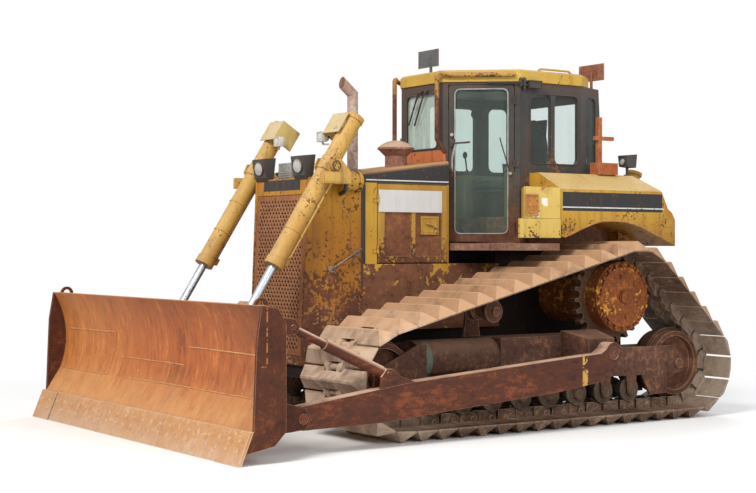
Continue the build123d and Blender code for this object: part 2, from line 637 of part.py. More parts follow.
with BuildPart() as side_panels:
    with BuildSketch(side_plane(BODY_HALF)):
        outline([(CASE_FRONT + 20, RAIL_TOP - 60), (GUARD_AFT, RAIL_TOP - 60), (GUARD_AFT, DOOR_Z[0] - 10),
                 (CASE_FRONT + 20, DOOR_Z[0] - 10)])
    extrude(amount=BODY_HALF - CASE_HALF)
    mirror(about=Plane.XZ)
save("engine_side_panels", side_panels.part)

STACK = (2940, 200)           # station and y
STACK_RADIUS, STACK_WALL = 48, 4
STACK_BEND = 2920
stack_base = hood_top(STACK[0]) - 10
with BuildPart() as stack_pipe:
    with BuildLine() as stack_line:
        foot = (fwd(STACK[0]), STACK[1], stack_base)
        Polyline(foot, (foot[0], foot[1], STACK_BEND), (foot[0] + 190, foot[1], STACK_BEND + 160))
    with BuildSketch(Plane(origin=foot, z_dir=(0, 0, 1))):
        Circle(STACK_RADIUS)
        Circle(STACK_RADIUS - STACK_WALL, mode=Mode.SUBTRACT)
    sweep(path=stack_line.wires()[0], transition=Transition.RIGHT)
    with BuildSketch(Plane(origin=foot, z_dir=(0, 0, 1))):
        Circle(STACK_RADIUS + 24)
        Circle(STACK_RADIUS - STACK_WALL, mode=Mode.SUBTRACT)
    extrude(amount=28)
STACK_CUT = Plane(origin=(foot[0] + 114, 0, STACK_BEND + 87), z_dir=(-0.986, 0, -0.168))
save("exhaust_stack", on_hood(split(stack_pipe.part, bisect_by=STACK_CUT, keep=Keep.TOP)))

PRE_CLEANER = (2415, 120)     # station and y
PRE_CLEANER_BRIM, PRE_CLEANER_NECK, PRE_CLEANER_RISE = 168, 100, 235
brim_z = PRE_CLEANER_RISE - 84
with BuildPart() as pre_cleaner:
    with BuildSketch(Plane.XZ):
        with BuildLine():
            Polyline((0, PRE_CLEANER_RISE), (0, -40), (PRE_CLEANER_NECK, -40), (PRE_CLEANER_NECK, 90),
                     (PRE_CLEANER_BRIM - 8, brim_z), (PRE_CLEANER_BRIM, brim_z), (PRE_CLEANER_BRIM,
                                                                                  brim_z + 16))
            TangentArc((0, PRE_CLEANER_RISE), (PRE_CLEANER_BRIM, brim_z + 16), tangent=(1, 0))
        make_face()
    revolve(axis=Axis.Z)
pre_cleaner_place = Location((fwd(PRE_CLEANER[0]), PRE_CLEANER[1], hood_top(PRE_CLEANER[0])))
save("pre_cleaner", on_hood(pre_cleaner.part.moved(pre_cleaner_place)))

# ------------------------------------------------------------------ deck, seat platform, fenders, rear tank
PLATFORM_Z = 1850             # seat platform, over the final drives
PLATFORM_X = (300, 1400)
FENDER_Y = (640, 1210)
CAB_HALF = CAB_MIDDLE[1]
with BuildPart() as cab_floor:
    with BuildSketch(Plane.XY.offset(DECK_Z - DECK_THICK)):
        plan([(PLATFORM_X[1], -1205), (1870, -1205), (HOOD_AFT, -560), (HOOD_AFT, 560), (1870, 1205),
              (PLATFORM_X[1], 1205)])
    extrude(amount=DECK_THICK)
    with BuildSketch(Plane.XY.offset(DECK_Z - DECK_THICK)):
        plan([(PLATFORM_X[0], -FENDER_Y[0]), (PLATFORM_X[1], -FENDER_Y[0]), (PLATFORM_X[1], FENDER_Y[0]),
              (PLATFORM_X[0], FENDER_Y[0])])
    extrude(amount=PLATFORM_Z - DECK_Z + DECK_THICK)
save("cab_floor", cab_floor.part)

FENDER_TOP, FENDER_INNER_TOP = 2106, 2245
SKIRT_Z = 1581
quarter_slope = (CAB_AFT[1] - CAB_REAR[1]) / (CAB_AFT[0] - CAB_REAR[0])
quarter_y = CAB_AFT[1] - (CAB_AFT[0] - PLATFORM_X[0]) * quarter_slope
with BuildPart() as fender:
    with BuildSketch(side_plane(FENDER_Y[1])):
        with BuildLine():
            arch = [(fwd(s), z) for s, z in [(1341, 1659), (1163, 1722), (922, 1797), (737, 1808),
                                             (550, 1791),
                                             (360, 1738), (193, 1674)]]
            Polyline(arch[-1], (fwd(-29), SKIRT_Z), (fwd(-29), 1825), (fwd(10), 1891), (fwd(63), 1928),
                     (fwd(154), 2104), (fwd(228), FENDER_INNER_TOP), (fwd(PLATFORM_X[1]), FENDER_INNER_TOP),
                     (fwd(PLATFORM_X[1]), 1659), arch[0])
            Spline(*arch)
        make_face()
    extrude(amount=FENDER_Y[1] - FENDER_Y[0])
    with BuildSketch(Plane.YZ.offset(fwd(-40))):
        across([(FENDER_Y[0], SKIRT_Z - 10), (FENDER_Y[1], SKIRT_Z - 10), (FENDER_Y[1], FENDER_TOP - 20),
                (FENDER_Y[1] - 25, FENDER_TOP), (CAB_HALF + 120, FENDER_INNER_TOP), (CAB_HALF,
                                                                                     FENDER_INNER_TOP),
                (CAB_HALF, PLATFORM_Z), (FENDER_Y[0], PLATFORM_Z)])
    extrude(amount=1600, mode=Mode.INTERSECT)
    with BuildSketch(Plane.XY.offset(SKIRT_Z - 20)):
        plan([(-60, 500), (PLATFORM_X[0], 500), (PLATFORM_X[0], CAB_HALF), (-60, CAB_HALF)])
    extrude(amount=FENDER_INNER_TOP, mode=Mode.SUBTRACT)
    with BuildSketch(Plane.XY.offset(PLATFORM_Z)):
        plan([(PLATFORM_X[0], quarter_y), CAB_AFT, (PLATFORM_X[0], CAB_HALF)])
    extrude(amount=FENDER_INNER_TOP - PLATFORM_Z)
save_pair("fender", fender.part)

BOX_Z = (1650, 1820, 2100)
with BuildPart() as fender_boxes:
    with BuildSketch(Plane.XY.offset(BOX_Z[0])):
        plan([(PLATFORM_X[1], CAB_HALF + 12), (1528, CAB_HALF + 30), (1870, 1200), (1870, 1222),
              (PLATFORM_X[1], 1222)])
    extrude(amount=BOX_Z[1] - BOX_Z[0])
    with BuildSketch(Plane.XY.offset(BOX_Z[1])):
        plan([(PLATFORM_X[1], CAB_HALF + 12), (1520, CAB_HALF + 30), (1803, 1195), (1803, 1215),
              (PLATFORM_X[1], 1215)])
    extrude(amount=BOX_Z[2] - BOX_Z[1])
    mirror(about=Plane.XZ)
save("fender_boxes", fender_boxes.part)

TANK_AFT = -60
NECK = (75, 700, 2080)        # filler neck's foot: station, y, height
with BuildPart() as rear_tank:
    with BuildSketch(side_plane(CAB_HALF)):
        outline([(TANK_AFT, DECK_Z), (PLATFORM_X[0], DECK_Z), (PLATFORM_X[0], FENDER_INNER_TOP),
                 (120, FENDER_INNER_TOP), (TANK_AFT, 1930)])
    extrude(amount=2 * CAB_HALF)
    for start, long, radius in [(0, 222, 64), (196, 30, 76)]:
        with BuildSketch(Plane(origin=(fwd(NECK[0]), NECK[1], NECK[2]),
                               z_dir=(-0.33, 0, 0.944)).offset(start)):
            Circle(radius)
        extrude(amount=long)
    with Locations((fwd(PLATFORM_X[0] - 130), 0, DECK_Z - DECK_THICK / 2)):
        Box(260, 2 * CASE_HALF, DECK_THICK)
save("rear_tank", rear_tank.part)

# Work lamps that stand on the fenders' rear, and a post behind the cab's left corner
REAR_LAMP_Y = 870
with BuildPart() as rear_lamps:
    for side in (1, -1):
        with Locations((fwd(262), side * REAR_LAMP_Y, FENDER_INNER_TOP)):
            Cylinder(14, 100, align=(Align.CENTER, Align.CENTER, Align.MIN))
            Cylinder(32, 12, align=(Align.CENTER, Align.CENTER, Align.MIN))
        with BuildSketch(side_plane(side * REAR_LAMP_Y + 58)):
            outline([(200, 2322), (312, 2332), (325, 2438), (186, 2450)])
        extrude(amount=116)
save("rear_lamps", rear_lamps.part)

with BuildPart() as rear_post:
    for size, centre in [((240, 120, 110), (574, 2300)), ((42, 42, 440), (640, 2560)),
                         ((228, 36, 36), (581, 2585))]:
        with Locations((fwd(centre[0]), 890, centre[1])):
            Box(*size)
save("rear_post", rear_post.part)

# ------------------------------------------------------------------ cab
CAB_WINDOW_Z = (2330, 2975)
DOOR_SILL, DOOR_HEAD = DECK_Z + 18, 3050
WINDOW_CORNER = 60
GLASS = 6
POST = 44                     # door post's width along the slanted wall


def wall_plane(start, end):
    """Plane on a wall's outer face; start and end are plan corners (station, y), the cab to the left."""
    ax, ay, bx, by = fwd(start[0]), start[1], fwd(end[0]), end[1]
    length = hypot(bx - ax, by - ay)
    ux, uy = (bx - ax) / length, (by - ay) / length
    return Plane(origin=((ax + bx) / 2, (ay + by) / 2, 0), x_dir=(ux, uy, 0), z_dir=(uy, -ux, 0)), length


def swap(corner):
    """The same plan corner on the machine's right."""
    return corner[0], -corner[1]


cab_outline = [CAB_FRONT, CAB_MIDDLE, CAB_AFT, CAB_REAR, swap(CAB_REAR), swap(CAB_AFT), swap(CAB_MIDDLE),
               swap(CAB_FRONT)]
SIDE_PLANE, SIDE_LENGTH = wall_plane(CAB_MIDDLE, CAB_AFT)
QUARTER_PLANE, QUARTER_LENGTH = wall_plane(CAB_AFT, CAB_REAR)
DOOR_PLANE, DOOR_LENGTH = wall_plane(CAB_FRONT, CAB_MIDDLE)
FRONT_PLANE, FRONT_LENGTH = wall_plane(swap(CAB_FRONT), CAB_FRONT)
REAR_LEAN = 0.0955            # the rear wall leans forward by this share of its height
REAR_FOOT = CAB_REAR[0] + 10 - PLATFORM_Z * REAR_LEAN
REAR_PLANE = Plane(origin=(fwd(REAR_FOOT), 0, 0), x_dir=(0, -1, 0), z_dir=(-1, 0, REAR_LEAN))
window_z = (CAB_WINDOW_Z[0] + CAB_WINDOW_Z[1]) / 2
window_tall = CAB_WINDOW_Z[1] - CAB_WINDOW_Z[0]
# window: wall plane, centre along it, centre height, width, height
WINDSHIELD = (FRONT_PLANE, 0, 2728, 490, 515)
SIDE_WINDOWS = [(SIDE_PLANE, -122, window_z, 254, window_tall),
                (SIDE_PLANE, 192, window_z, 286, window_tall),
                (QUARTER_PLANE, -40, window_z, 200, window_tall)]
REAR_WINDOW = (REAR_PLANE, 0, window_z, 920, window_tall)


def window_face(window, inset=0):
    plane, along, height, wide, tall = window
    with BuildSketch(plane.offset(-inset)) as face:
        with Locations((along, height)):
            RectangleRounded(wide, tall, min(WINDOW_CORNER, wide / 2 - 5))
    return face.sketch


def pane(window):
    """Glass that fills the window, in the middle of the wall's thickness."""
    with BuildPart() as glass:
        add(window_face(window, (WALL - GLASS) / 2))
        extrude(amount=-GLASS, dir=window[0].z_dir)
    return glass.part


DOOR_CLEAR = 8
DOOR_DEEP = 38
door_reach = DOOR_LENGTH / 2 - POST
DOOR_WINDOW = (DOOR_PLANE, 0, 2348, 2 * door_reach - 116, 1325)
DOOR_AXIS = Plane(origin=DOOR_PLANE.offset(KNUCKLE).from_local_coords((door_reach - 4, 0, 0)),
                  x_dir=-DOOR_PLANE.x_dir, z_dir=(0, 0, 1))
door_hinge = hinge(DOOR_AXIS, 1, (1760, 2330, 2900))
FRONT_SPLIT = (CAB_FRONT[0] + CAB_MIDDLE[0]) / 2      # in the doorway


def cab_walls(station_0, station_1, foot, windows, left_only=False):
    """Part of the cab's wall ring between two stations, from a height up, with its openings cut."""
    with BuildPart() as walls:
        with BuildSketch(Plane.XY.offset(foot)):
            plan(cab_outline)
            offset(amount=-WALL, kind=Kind.INTERSECTION, mode=Mode.SUBTRACT)
            with Locations((fwd((station_0 + station_1) / 2), 1000 if left_only else 0)):
                Rectangle(station_1 - station_0, 2000, mode=Mode.INTERSECT)
        extrude(amount=DOOR_HEAD - foot)
        for window in windows:
            add(window_face(window, -1))
            extrude(amount=-WALL - 2, dir=window[0].z_dir, mode=Mode.SUBTRACT)
        with BuildSketch(DOOR_PLANE.offset(20)):
            with Locations((0, 2 * DOOR_SILL)):
                Rectangle(2 * door_reach, 4 * DOOR_SILL)
        doorway = extrude(amount=-WALL - 60, mode=Mode.SUBTRACT)
        add(mirror(doorway, about=Plane.XZ), mode=Mode.SUBTRACT)
    return walls.part


def along_rear(aft, front):
    """Slab along the leaning rear wall, from one distance forward of its outer face to another."""
    corners = []
    for reach, z in [(aft, PLATFORM_Z), (front, PLATFORM_Z), (front, DOOR_HEAD), (aft, DOOR_HEAD)]:
        corners.append((REAR_FOOT + z * REAR_LEAN + reach, z))
    with BuildPart() as slab:
        with BuildSketch(side_plane(1000)):
            outline(corners)
        extrude(amount=2000)
    return slab.part


cab_front_wall = cab_walls(FRONT_SPLIT, CAB_FRONT[0] + 10, DECK_Z, [WINDSHIELD])
save("cab_front_wall", cab_front_wall)
side_wall = cab_walls(CAB_REAR[0] - 10, PLATFORM_X[1], PLATFORM_Z, SIDE_WINDOWS, True) & along_rear(WALL,
                                                                                                    1300)
side_post = cab_walls(PLATFORM_X[1], FRONT_SPLIT, DECK_Z, [], True)
save_pair("cab_side_wall", side_wall + side_post + door_hinge[0])
with BuildPart() as rear_wall:
    with BuildSketch(Plane.XY.offset(PLATFORM_Z)):
        plan(cab_outline)
    extrude(amount=DOOR_HEAD - PLATFORM_Z)
    add(along_rear(0, WALL), mode=Mode.INTERSECT)
    add(window_face(REAR_WINDOW, -1))
    extrude(amount=-WALL - 2, dir=REAR_PLANE.z_dir, mode=Mode.SUBTRACT)
save("cab_rear_wall", rear_wall.part)
with BuildPart() as cab_glass:
    for window in SIDE_WINDOWS:
        add(pane(window))
    mirror(about=Plane.XZ)
    add(pane(WINDSHIELD))
    add(pane(REAR_WINDOW))
save("cab_glass", cab_glass.part)

with BuildPart() as cab_door:
    with BuildSketch(DOOR_PLANE):
        with Locations((0, (DOOR_SILL + DOOR_HEAD - DOOR_CLEAR) / 2)):
            RectangleRounded(2 * (door_reach - DOOR_CLEAR), DOOR_HEAD - DOOR_CLEAR - DOOR_SILL, 30)
    extrude(amount=-DOOR_DEEP)
    add(window_face(DOOR_WINDOW, -1))
    extrude(amount=-WALL - 2, dir=DOOR_PLANE.z_dir, mode=Mode.SUBTRACT)
    add(door_hinge[1])
save_pair("cab_door", cab_door.part)
save_pair("cab_door_glass", pane(DOOR_WINDOW))

with BuildPart() as cab_header:
    with BuildSketch(Plane.XY.offset(DOOR_HEAD)):
        plan(cab_outline)
        with Locations((fwd(REAR_FOOT + DOOR_HEAD * REAR_LEAN + 1000), 0)):
            Rectangle(2000, 2000, mode=Mode.INTERSECT)
    extrude(amount=CAB_TOP - DOOR_HEAD)
save("cab_header", cab_header.part)

ROOF_OVERHANG = 14
with BuildPart() as cab_roof:
    with BuildSketch(Plane.XY.offset(CAB_TOP)):
        plan([CAB_FRONT, CAB_MIDDLE, CAB_AFT, ROOF_REAR, swap(ROOF_REAR), swap(CAB_AFT), swap(CAB_MIDDLE),
              swap(CAB_FRONT)])
        offset(amount=ROOF_OVERHANG, kind=Kind.INTERSECTION)
    extrude(amount=ROOF_TOP - CAB_TOP)
    fillet(cab_roof.edges().filter_by(Axis.Z), radius=45)
    chamfer(cab_roof.faces().sort_by(Axis.Z)[-1].edges(), length=22)
save("cab_roof", cab_roof.part)

# Seat: pedestal and shell, and the cushions on them
SEAT_X, SEAT_Z = 1010, 2118
with BuildPart() as seat:
    with BuildSketch(Plane.XY.offset(PLATFORM_Z)):
        with Locations((fwd(SEAT_X), 0)):
            Rectangle(340, 380)
    extrude(amount=SEAT_Z - 10 - PLATFORM_Z, taper=6)
    with BuildSketch(side_plane(230)):
        outline([(SEAT_X - 245, SEAT_Z - 18), (SEAT_X + 255, SEAT_Z - 18), (SEAT_X + 255, SEAT_Z),
                 (SEAT_X - 222, SEAT_Z),
                 (SEAT_X - 290, SEAT_Z + 682), (SEAT_X - 308, SEAT_Z + 682)])
    extrude(amount=460)
save("seat", seat.part)

with BuildPart() as cushions:
    with BuildSketch(side_plane(250)):
        outline([(SEAT_X - 120, SEAT_Z), (SEAT_X + 262, SEAT_Z), (SEAT_X + 270, SEAT_Z + 97),
                 (SEAT_X + 200, SEAT_Z + 120),
                 (SEAT_X - 112, SEAT_Z + 104)])
        outline([(SEAT_X - 225.2, SEAT_Z + 32), (SEAT_X - 128, SEAT_Z + 32), (SEAT_X - 185, SEAT_Z + 702),
                 (SEAT_X - 230, SEAT_Z + 732), (SEAT_X - 289.5, SEAT_Z + 677)])
    extrude(amount=500)
    add(seat.part, mode=Mode.SUBTRACT)
save("seat_cushions", cushions.part)

# Arm consoles and dash
with BuildPart() as consoles:
    for side in (1, -1):
        with BuildSketch(Plane.XY.offset(PLATFORM_Z)):
            with Locations((fwd(SEAT_X + 20), side * 400)):
                RectangleRounded(560, 200, 30)
        extrude(amount=420)
    with BuildSketch(side_plane(300)):
        outline([(1830, DECK_Z), (CAB_FRONT[0] - WALL, DECK_Z), (CAB_FRONT[0] - WALL, 2330), (1900, 2330),
                 (1850, 2200)])
    extrude(amount=600)
save("cab_consoles", consoles.part)

# Tubes at the cab's front corners, which leave the door posts and run back along the roof's edges
RISER_RADIUS = 21
RISER = (2112, 335)
roof_edge = DOOR_PLANE.offset(ROOF_OVERHANG + RISER_RADIUS + 6)
riser_end = roof_edge.from_local_coords((DOOR_LENGTH / 2 - 40, ROOF_TOP - 50, 0))
riser_bend = roof_edge.from_local_coords((-DOOR_LENGTH / 2 + 60, ROOF_TOP - 50, 0))
riser_foot = DOOR_PLANE.from_local_coords((-DOOR_LENGTH / 2 + 18, 2430, -12))
with BuildPart() as riser:
    with BuildLine() as riser_line:
        FilletPolyline(riser_foot, (fwd(RISER[0]), RISER[1], 2550),
                       (fwd(RISER[0]), RISER[1], ROOF_TOP - 20),
                       riser_bend, riser_end, radius=30)
    with BuildSketch(Plane(origin=riser_foot, z_dir=riser_line.wires()[0] % 0)):
        Circle(RISER_RADIUS)
    sweep(path=riser_line.wires()[0])
    add(cab_front_wall, mode=Mode.SUBTRACT)
with BuildPart() as riser_tubes:
    add(riser.part)
    mirror(about=Plane.XZ)
save("riser_tubes", riser_tubes.part)

# Blank plates that stand on the roof
with BuildPart() as roof_plates:
    for station, y, z, wide, foot_z, stalk in [(2028, 92, 3310, 313, ROOF_TOP, -16),
                                               (425, 551, 3240, 350, CAB_TOP, 15)]:
        with Locations((fwd(station), y, z)):
            Box(8, wide, 160)
        with Locations((fwd(station + stalk), y + 15, foot_z)):
            Cylinder(14, z - foot_z, align=(Align.CENTER, Align.CENTER, Align.MIN))
save("roof_plates", roof_plates.part)

# ------------------------------------------------------------------ blade
BLADE_TOP = 1144
EDGE_TALL = 245
EDGE_LEAN = 100               # the cutting edge leans back this far over its height
EDGE_THICK = 30               # measured level
SKIN = 22
EDGE_BACK = EDGE_STATION - EDGE_THICK
SEAM = (EDGE_BACK - EDGE_LEAN, EDGE_TALL)
FACE_TOP, FACE_MIDDLE, FACE_BEND = ((EDGE_STATION - 198, BLADE_TOP), (EDGE_STATION - 317, 796),
                                    (EDGE_STATION - 262, 448))
END_PLATE = 24
BACK_X = EDGE_STATION - 395   # flat back of the blade
EYE_Y = 1800                  # lifting eyes on the blade's top
ARM_PIN, ARM_PIN_RADIUS = (BACK_X - 267, 285), 38
BRACE_LOW, BRACE_HIGH, BRACE_PIN_RADIUS = (ARM_PIN[0] - 790, 580), (BACK_X - 189, 970), 20


def face_station(z):
    """Station of the blade's rolled face at this height."""
    t = (BLADE_TOP - z) / (BLADE_TOP - FACE_BEND[1])
    chord = FACE_TOP[0] + t * (FACE_BEND[0] - FACE_TOP[0])
    hollow = (FACE_TOP[0] + FACE_BEND[0]) / 2 - FACE_MIDDLE[0]
    return chord - 4 * hollow * t * (1 - t)


def in_skin(low, high):
    """Corners that follow the face inside the plate, from one height to another."""
    return [(face_station(low + i * (high - low) / 4) - 12, low + i * (high - low) / 4) for i in range(5)]


with BuildPart() as blade:
    foot = (EDGE_BACK - EDGE_LEAN * 55 / EDGE_TALL, 55)
    with BuildSketch(side_plane(BLADE_HALF - END_PLATE)):
        with BuildLine():
            Polyline((fwd(FACE_TOP[0] - SKIN), FACE_TOP[1]), (fwd(FACE_TOP[0]), FACE_TOP[1]))
            ThreePointArc(*[(fwd(s), z) for s, z in (FACE_TOP, FACE_MIDDLE, FACE_BEND)])
            Polyline(*[(fwd(s), z) for s, z in (FACE_BEND, SEAM, foot, (foot[0] - SKIN - 8, foot[1]),
                                                (SEAM[0] - SKIN - 8, SEAM[1]),
                                                (FACE_BEND[0] - SKIN - 2, FACE_BEND[1]))])
            ThreePointArc(*[(fwd(s - back), z) for (s, z), back in
                            ((FACE_BEND, SKIN + 2), (FACE_MIDDLE, SKIN), (FACE_TOP, SKIN))])
        make_face()
        # lower and upper box beams
        outline([(SEAM[0] - 16, 180), (BACK_X + 60, 180), (BACK_X, 240), (BACK_X, 500)]
                + in_skin(500, FACE_BEND[1]) + [(SEAM[0] - 16, SEAM[1])])
        outline([(FACE_TOP[0] - 60, BLADE_TOP), (BACK_X + 30, 1040), (BACK_X + 30, 860)]
                + in_skin(860, BLADE_TOP))
    extrude(amount=2 * (BLADE_HALF - END_PLATE))
save("blade", blade.part)

# Behind it: ribs and end plates, the push arms', braces' and lift cylinders' lugs, and the lifting eyes
arm_middle = (ARM_Y[0] + ARM_Y[1]) / 2
with BuildPart() as blade_ribs:
    for y in (-2 * LIFT_Y, -LIFT_Y, 0, LIFT_Y, 2 * LIFT_Y):
        with BuildSketch(side_plane(y + 12)):
            outline([(BACK_X + 30, 920), (BACK_X, 460)] + in_skin(460, 920))
        extrude(amount=24)
    for y in (BLADE_HALF, -BLADE_HALF + END_PLATE):
        with BuildSketch(side_plane(y)):
            outline([(foot[0] - 12, foot[1] + 30), (BACK_X + 90, 130), (BACK_X - 5, 225),
                     (BACK_X - 5, 1006), (BACK_X + 60, 1120), (FACE_TOP[0] - 12, BLADE_TOP), FACE_TOP,
                     (EDGE_STATION - 157, 900), (EDGE_STATION - 146, 640), (EDGE_STATION - 137, 400), SEAM])
        extrude(amount=END_PLATE)
    for y, wide, shape in [
            (arm_middle, 128 + 12, [(BACK_X + 10, 180), (ARM_PIN[0] - 15, 205), (ARM_PIN[0] - 60, 285),
                                    (ARM_PIN[0] - 15, 365), (BACK_X + 10, 440)]),
            (arm_middle, 96, [(BACK_X + 60, 900), (BRACE_HIGH[0] - 18, 915), (BRACE_HIGH[0] - 58, 970),
                              (BRACE_HIGH[0] - 18, 1030), (BACK_X + 60, 1060)]),
            (LIFT_Y, 96, [(LIFT_PIN[0] - 10, 675), (LIFT_PIN[0] - 50, 620), (LIFT_PIN[0] - 38, 545)]
             + in_skin(460, 830) + [(BACK_X + 20, 800)])]:
        for side in (1, -1):
            for near in (wide / 2, -wide / 2 - 20):
                with BuildSketch(side_plane(side * y + near + 20)):
                    outline(shape)
                extrude(amount=20)
    for side in (1, -1):
        with BuildSketch(side_plane(side * EYE_Y + 10)):
            with Locations((fwd(FACE_TOP[0] - 75), BLADE_TOP - 6)):
                Circle(60)
                Circle(34, mode=Mode.SUBTRACT)
        extrude(amount=20)
    for (station, height), radius in [(ARM_PIN, ARM_PIN_RADIUS), (BRACE_HIGH, BRACE_PIN_RADIUS)]:
        with BuildSketch(side_plane(BLADE_HALF - 30)):
            with Locations((fwd(station), height)):
                Circle(radius + GAP)
        extrude(amount=2 * BLADE_HALF - 60, mode=Mode.SUBTRACT)
    add(blade.part, mode=Mode.SUBTRACT)
save("blade_ribs", blade_ribs.part)

# Cutting edge: equal segments side by side, and a heavier end bit at each end
END_BIT = 350
EDGE_SEGMENTS = 3
EDGE_GAP = 4
segment = 2 * (BLADE_HALF - END_BIT) / EDGE_SEGMENTS
edge_pieces = [(BLADE_HALF, END_BIT, EDGE_THICK), (END_BIT - BLADE_HALF, END_BIT, EDGE_THICK)]
for i in range(EDGE_SEGMENTS):
    edge_pieces.append((BLADE_HALF - END_BIT - i * segment - EDGE_GAP / 2, segment - EDGE_GAP,
                        EDGE_THICK - 8))
with BuildPart() as cutting_edge:
    for y, wide, thick in edge_pieces:
        with BuildSketch(side_plane(y)):
            outline([(EDGE_BACK, 0), (EDGE_BACK + thick, 0), (SEAM[0] + thick, EDGE_TALL), SEAM])
        extrude(amount=wide)
    add(blade.part, mode=Mode.SUBTRACT)
    add(blade_ribs.part, mode=Mode.SUBTRACT)
save("cutting_edge", cutting_edge.part)

# ------------------------------------------------------------------ push arms and braces
arm_wide = ARM_Y[1] - ARM_Y[0]
with BuildPart() as push_arm:
    with BuildSketch(side_plane(ARM_Y[1])):
        outline([(TRUNNION[0] + 20, TRUNNION[1] + 80), (1390, 655), (1863, 621), (ARM_PIN[0] - 974, 503),
                 (ARM_PIN[0] - 5, 375), (ARM_PIN[0] + 40, 285), (ARM_PIN[0] - 5, 195), (ARM_PIN[0] - 704,
                                                                                        207),
                 (1863, 351), (1390, 412), (TRUNNION[0], TRUNNION[1] - 92)])
        with Locations((fwd(TRUNNION[0]), TRUNNION[1])):
            Circle(92)
        with Locations((fwd(TRUNNION[0]), TRUNNION[1])):
            Circle(TRUNNION_RADIUS + 1, mode=Mode.SUBTRACT)
    extrude(amount=arm_wide)
    for y in (arm_middle + 62, arm_middle - 40):
        with BuildSketch(side_plane(y)):
            outline([(BRACE_LOW[0] - 280, 500), (BRACE_LOW[0] + 80, 460), (BRACE_LOW[0] + 70, 560),
                     (BRACE_LOW[0] + 20, 620), (BRACE_LOW[0] - 40, 620), (BRACE_LOW[0] - 110, 560)])
        extrude(amount=22)
    with BuildSketch(side_plane(ARM_Y[1] + 26)):
        with Locations((fwd(ARM_PIN[0]), ARM_PIN[1])):
            Circle(ARM_PIN_RADIUS)
    extrude(amount=arm_wide + 52)
save_pair("push_arm", push_arm.part)

brace_length = hypot(BRACE_HIGH[0] - BRACE_LOW[0], BRACE_HIGH[1] - BRACE_LOW[1])
brace_plane = Plane(origin=(fwd(BRACE_LOW[0]), arm_middle, BRACE_LOW[1]), x_dir=(0, 1, 0),
                    z_dir=(BRACE_HIGH[0] - BRACE_LOW[0], 0, BRACE_HIGH[1] - BRACE_LOW[1]))
with BuildPart() as brace:
    with BuildSketch(brace_plane.offset(40)):
        Circle(48)
    extrude(amount=brace_length * 0.6)
    with BuildSketch(brace_plane.offset(40)):
        Circle(32)
    extrude(amount=brace_length - 80)
    for (station, height), wide in [(BRACE_LOW, 78), (BRACE_HIGH, 94)]:
        with BuildSketch(side_plane(arm_middle + wide / 2)):
            with Locations((fwd(station), height)):
                Circle(46)
        extrude(amount=wide)
        with BuildSketch(side_plane(arm_middle + wide / 2 + 30)):
            with Locations((fwd(station), height)):
                Circle(BRACE_PIN_RADIUS)
        extrude(amount=wide + 60)
with BuildPart() as braces:
    add(brace.part - push_arm.part)
    mirror(about=Plane.XZ)
save("tilt_braces", braces.part)

# ------------------------------------------------------------------ lift cylinders
lift_length = hypot(LIFT_PIN[0] - LIFT_PIVOT[0], LIFT_PIN[1] - LIFT_PIVOT[1])
LIFT_PLANE = Plane(origin=(fwd(LIFT_PIVOT[0]), LIFT_Y, LIFT_PIVOT[1]), x_dir=(0, 1, 0),
                   z_dir=(LIFT_PIN[0] - LIFT_PIVOT[0], 0, LIFT_PIN[1] - LIFT_PIVOT[1]))
BARREL_RADIUS, BARREL_BORE, ROD_RADIUS = 76, 60, 35
BARREL_ABOVE, BARREL_BELOW = 510, 1000     # from the trunnion, to the cap end and to the rod end
ROD_INNER = 400
YOKE_PIN = 40
with BuildPart() as lift_barrel:
    with BuildSketch(LIFT_PLANE.offset(-BARREL_ABOVE)):
        Circle(BARREL_RADIUS)
    extrude(amount=BARREL_ABOVE + BARREL_BELOW)
    for start, long in [(-BARREL_ABOVE, 44), (BARREL_BELOW - 70, 70), (-62, 124)]:
        with BuildSketch(LIFT_PLANE.offset(start)):
            Circle(BARREL_RADIUS + 8)
        extrude(amount=long)
    # feed tube along the rear side, between its two port blocks
    for start, long, half_wide, deep in [(110, 830, 11, 22), (110, 60, 24, 40), (880, 60, 24, 40)]:
        with BuildSketch(LIFT_PLANE.offset(start)):
            with Locations((0, -BARREL_RADIUS - deep / 2 + 6)):
                RectangleRounded(2 * half_wide, deep, 8)
        extrude(amount=long)
    with BuildSketch(LIFT_PLANE.offset(-BARREL_ABOVE + 45)):
        Circle(BARREL_BORE)
    extrude(amount=BARREL_ABOVE + BARREL_BELOW - 90, mode=Mode.SUBTRACT)
    with BuildSketch(LIFT_PLANE.offset(BARREL_BELOW - 60)):
        Circle(ROD_RADIUS + 1)
    extrude(amount=70, mode=Mode.SUBTRACT)
    with BuildSketch(side_plane(LIFT_Y + 104)):
        with Locations((fwd(LIFT_PIVOT[0]), LIFT_PIVOT[1])):
            Circle(YOKE_PIN)
    extrude(amount=104 - BARREL_BORE - 8)
    with BuildSketch(side_plane(LIFT_Y - BARREL_BORE - 8)):
        with Locations((fwd(LIFT_PIVOT[0]), LIFT_PIVOT[1])):
            Circle(YOKE_PIN)
    extrude(amount=104 - BARREL_BORE - 8)
save_pair("lift_barrel", lift_barrel.part)

# Bent cover plate over each barrel's upper end, towards the middle and the front
COVER_Z = (-483, -282)        # along the cylinder
with BuildPart() as lift_cover:
    for (x, y), (wide, deep), (z0, z1) in [((-70.5, 99), (249, 6), COVER_Z),
                                           ((-192, -1), (6, 206), COVER_Z),
                                           ((0, 84), (60, 30), (-420, -340))]:
        with BuildSketch(LIFT_PLANE.offset(z0)):
            with Locations((x, y)):
                Rectangle(wide, deep)
        extrude(amount=z1 - z0)
    add(lift_barrel.part, mode=Mode.SUBTRACT)
save_pair("lift_cover", lift_cover.part)

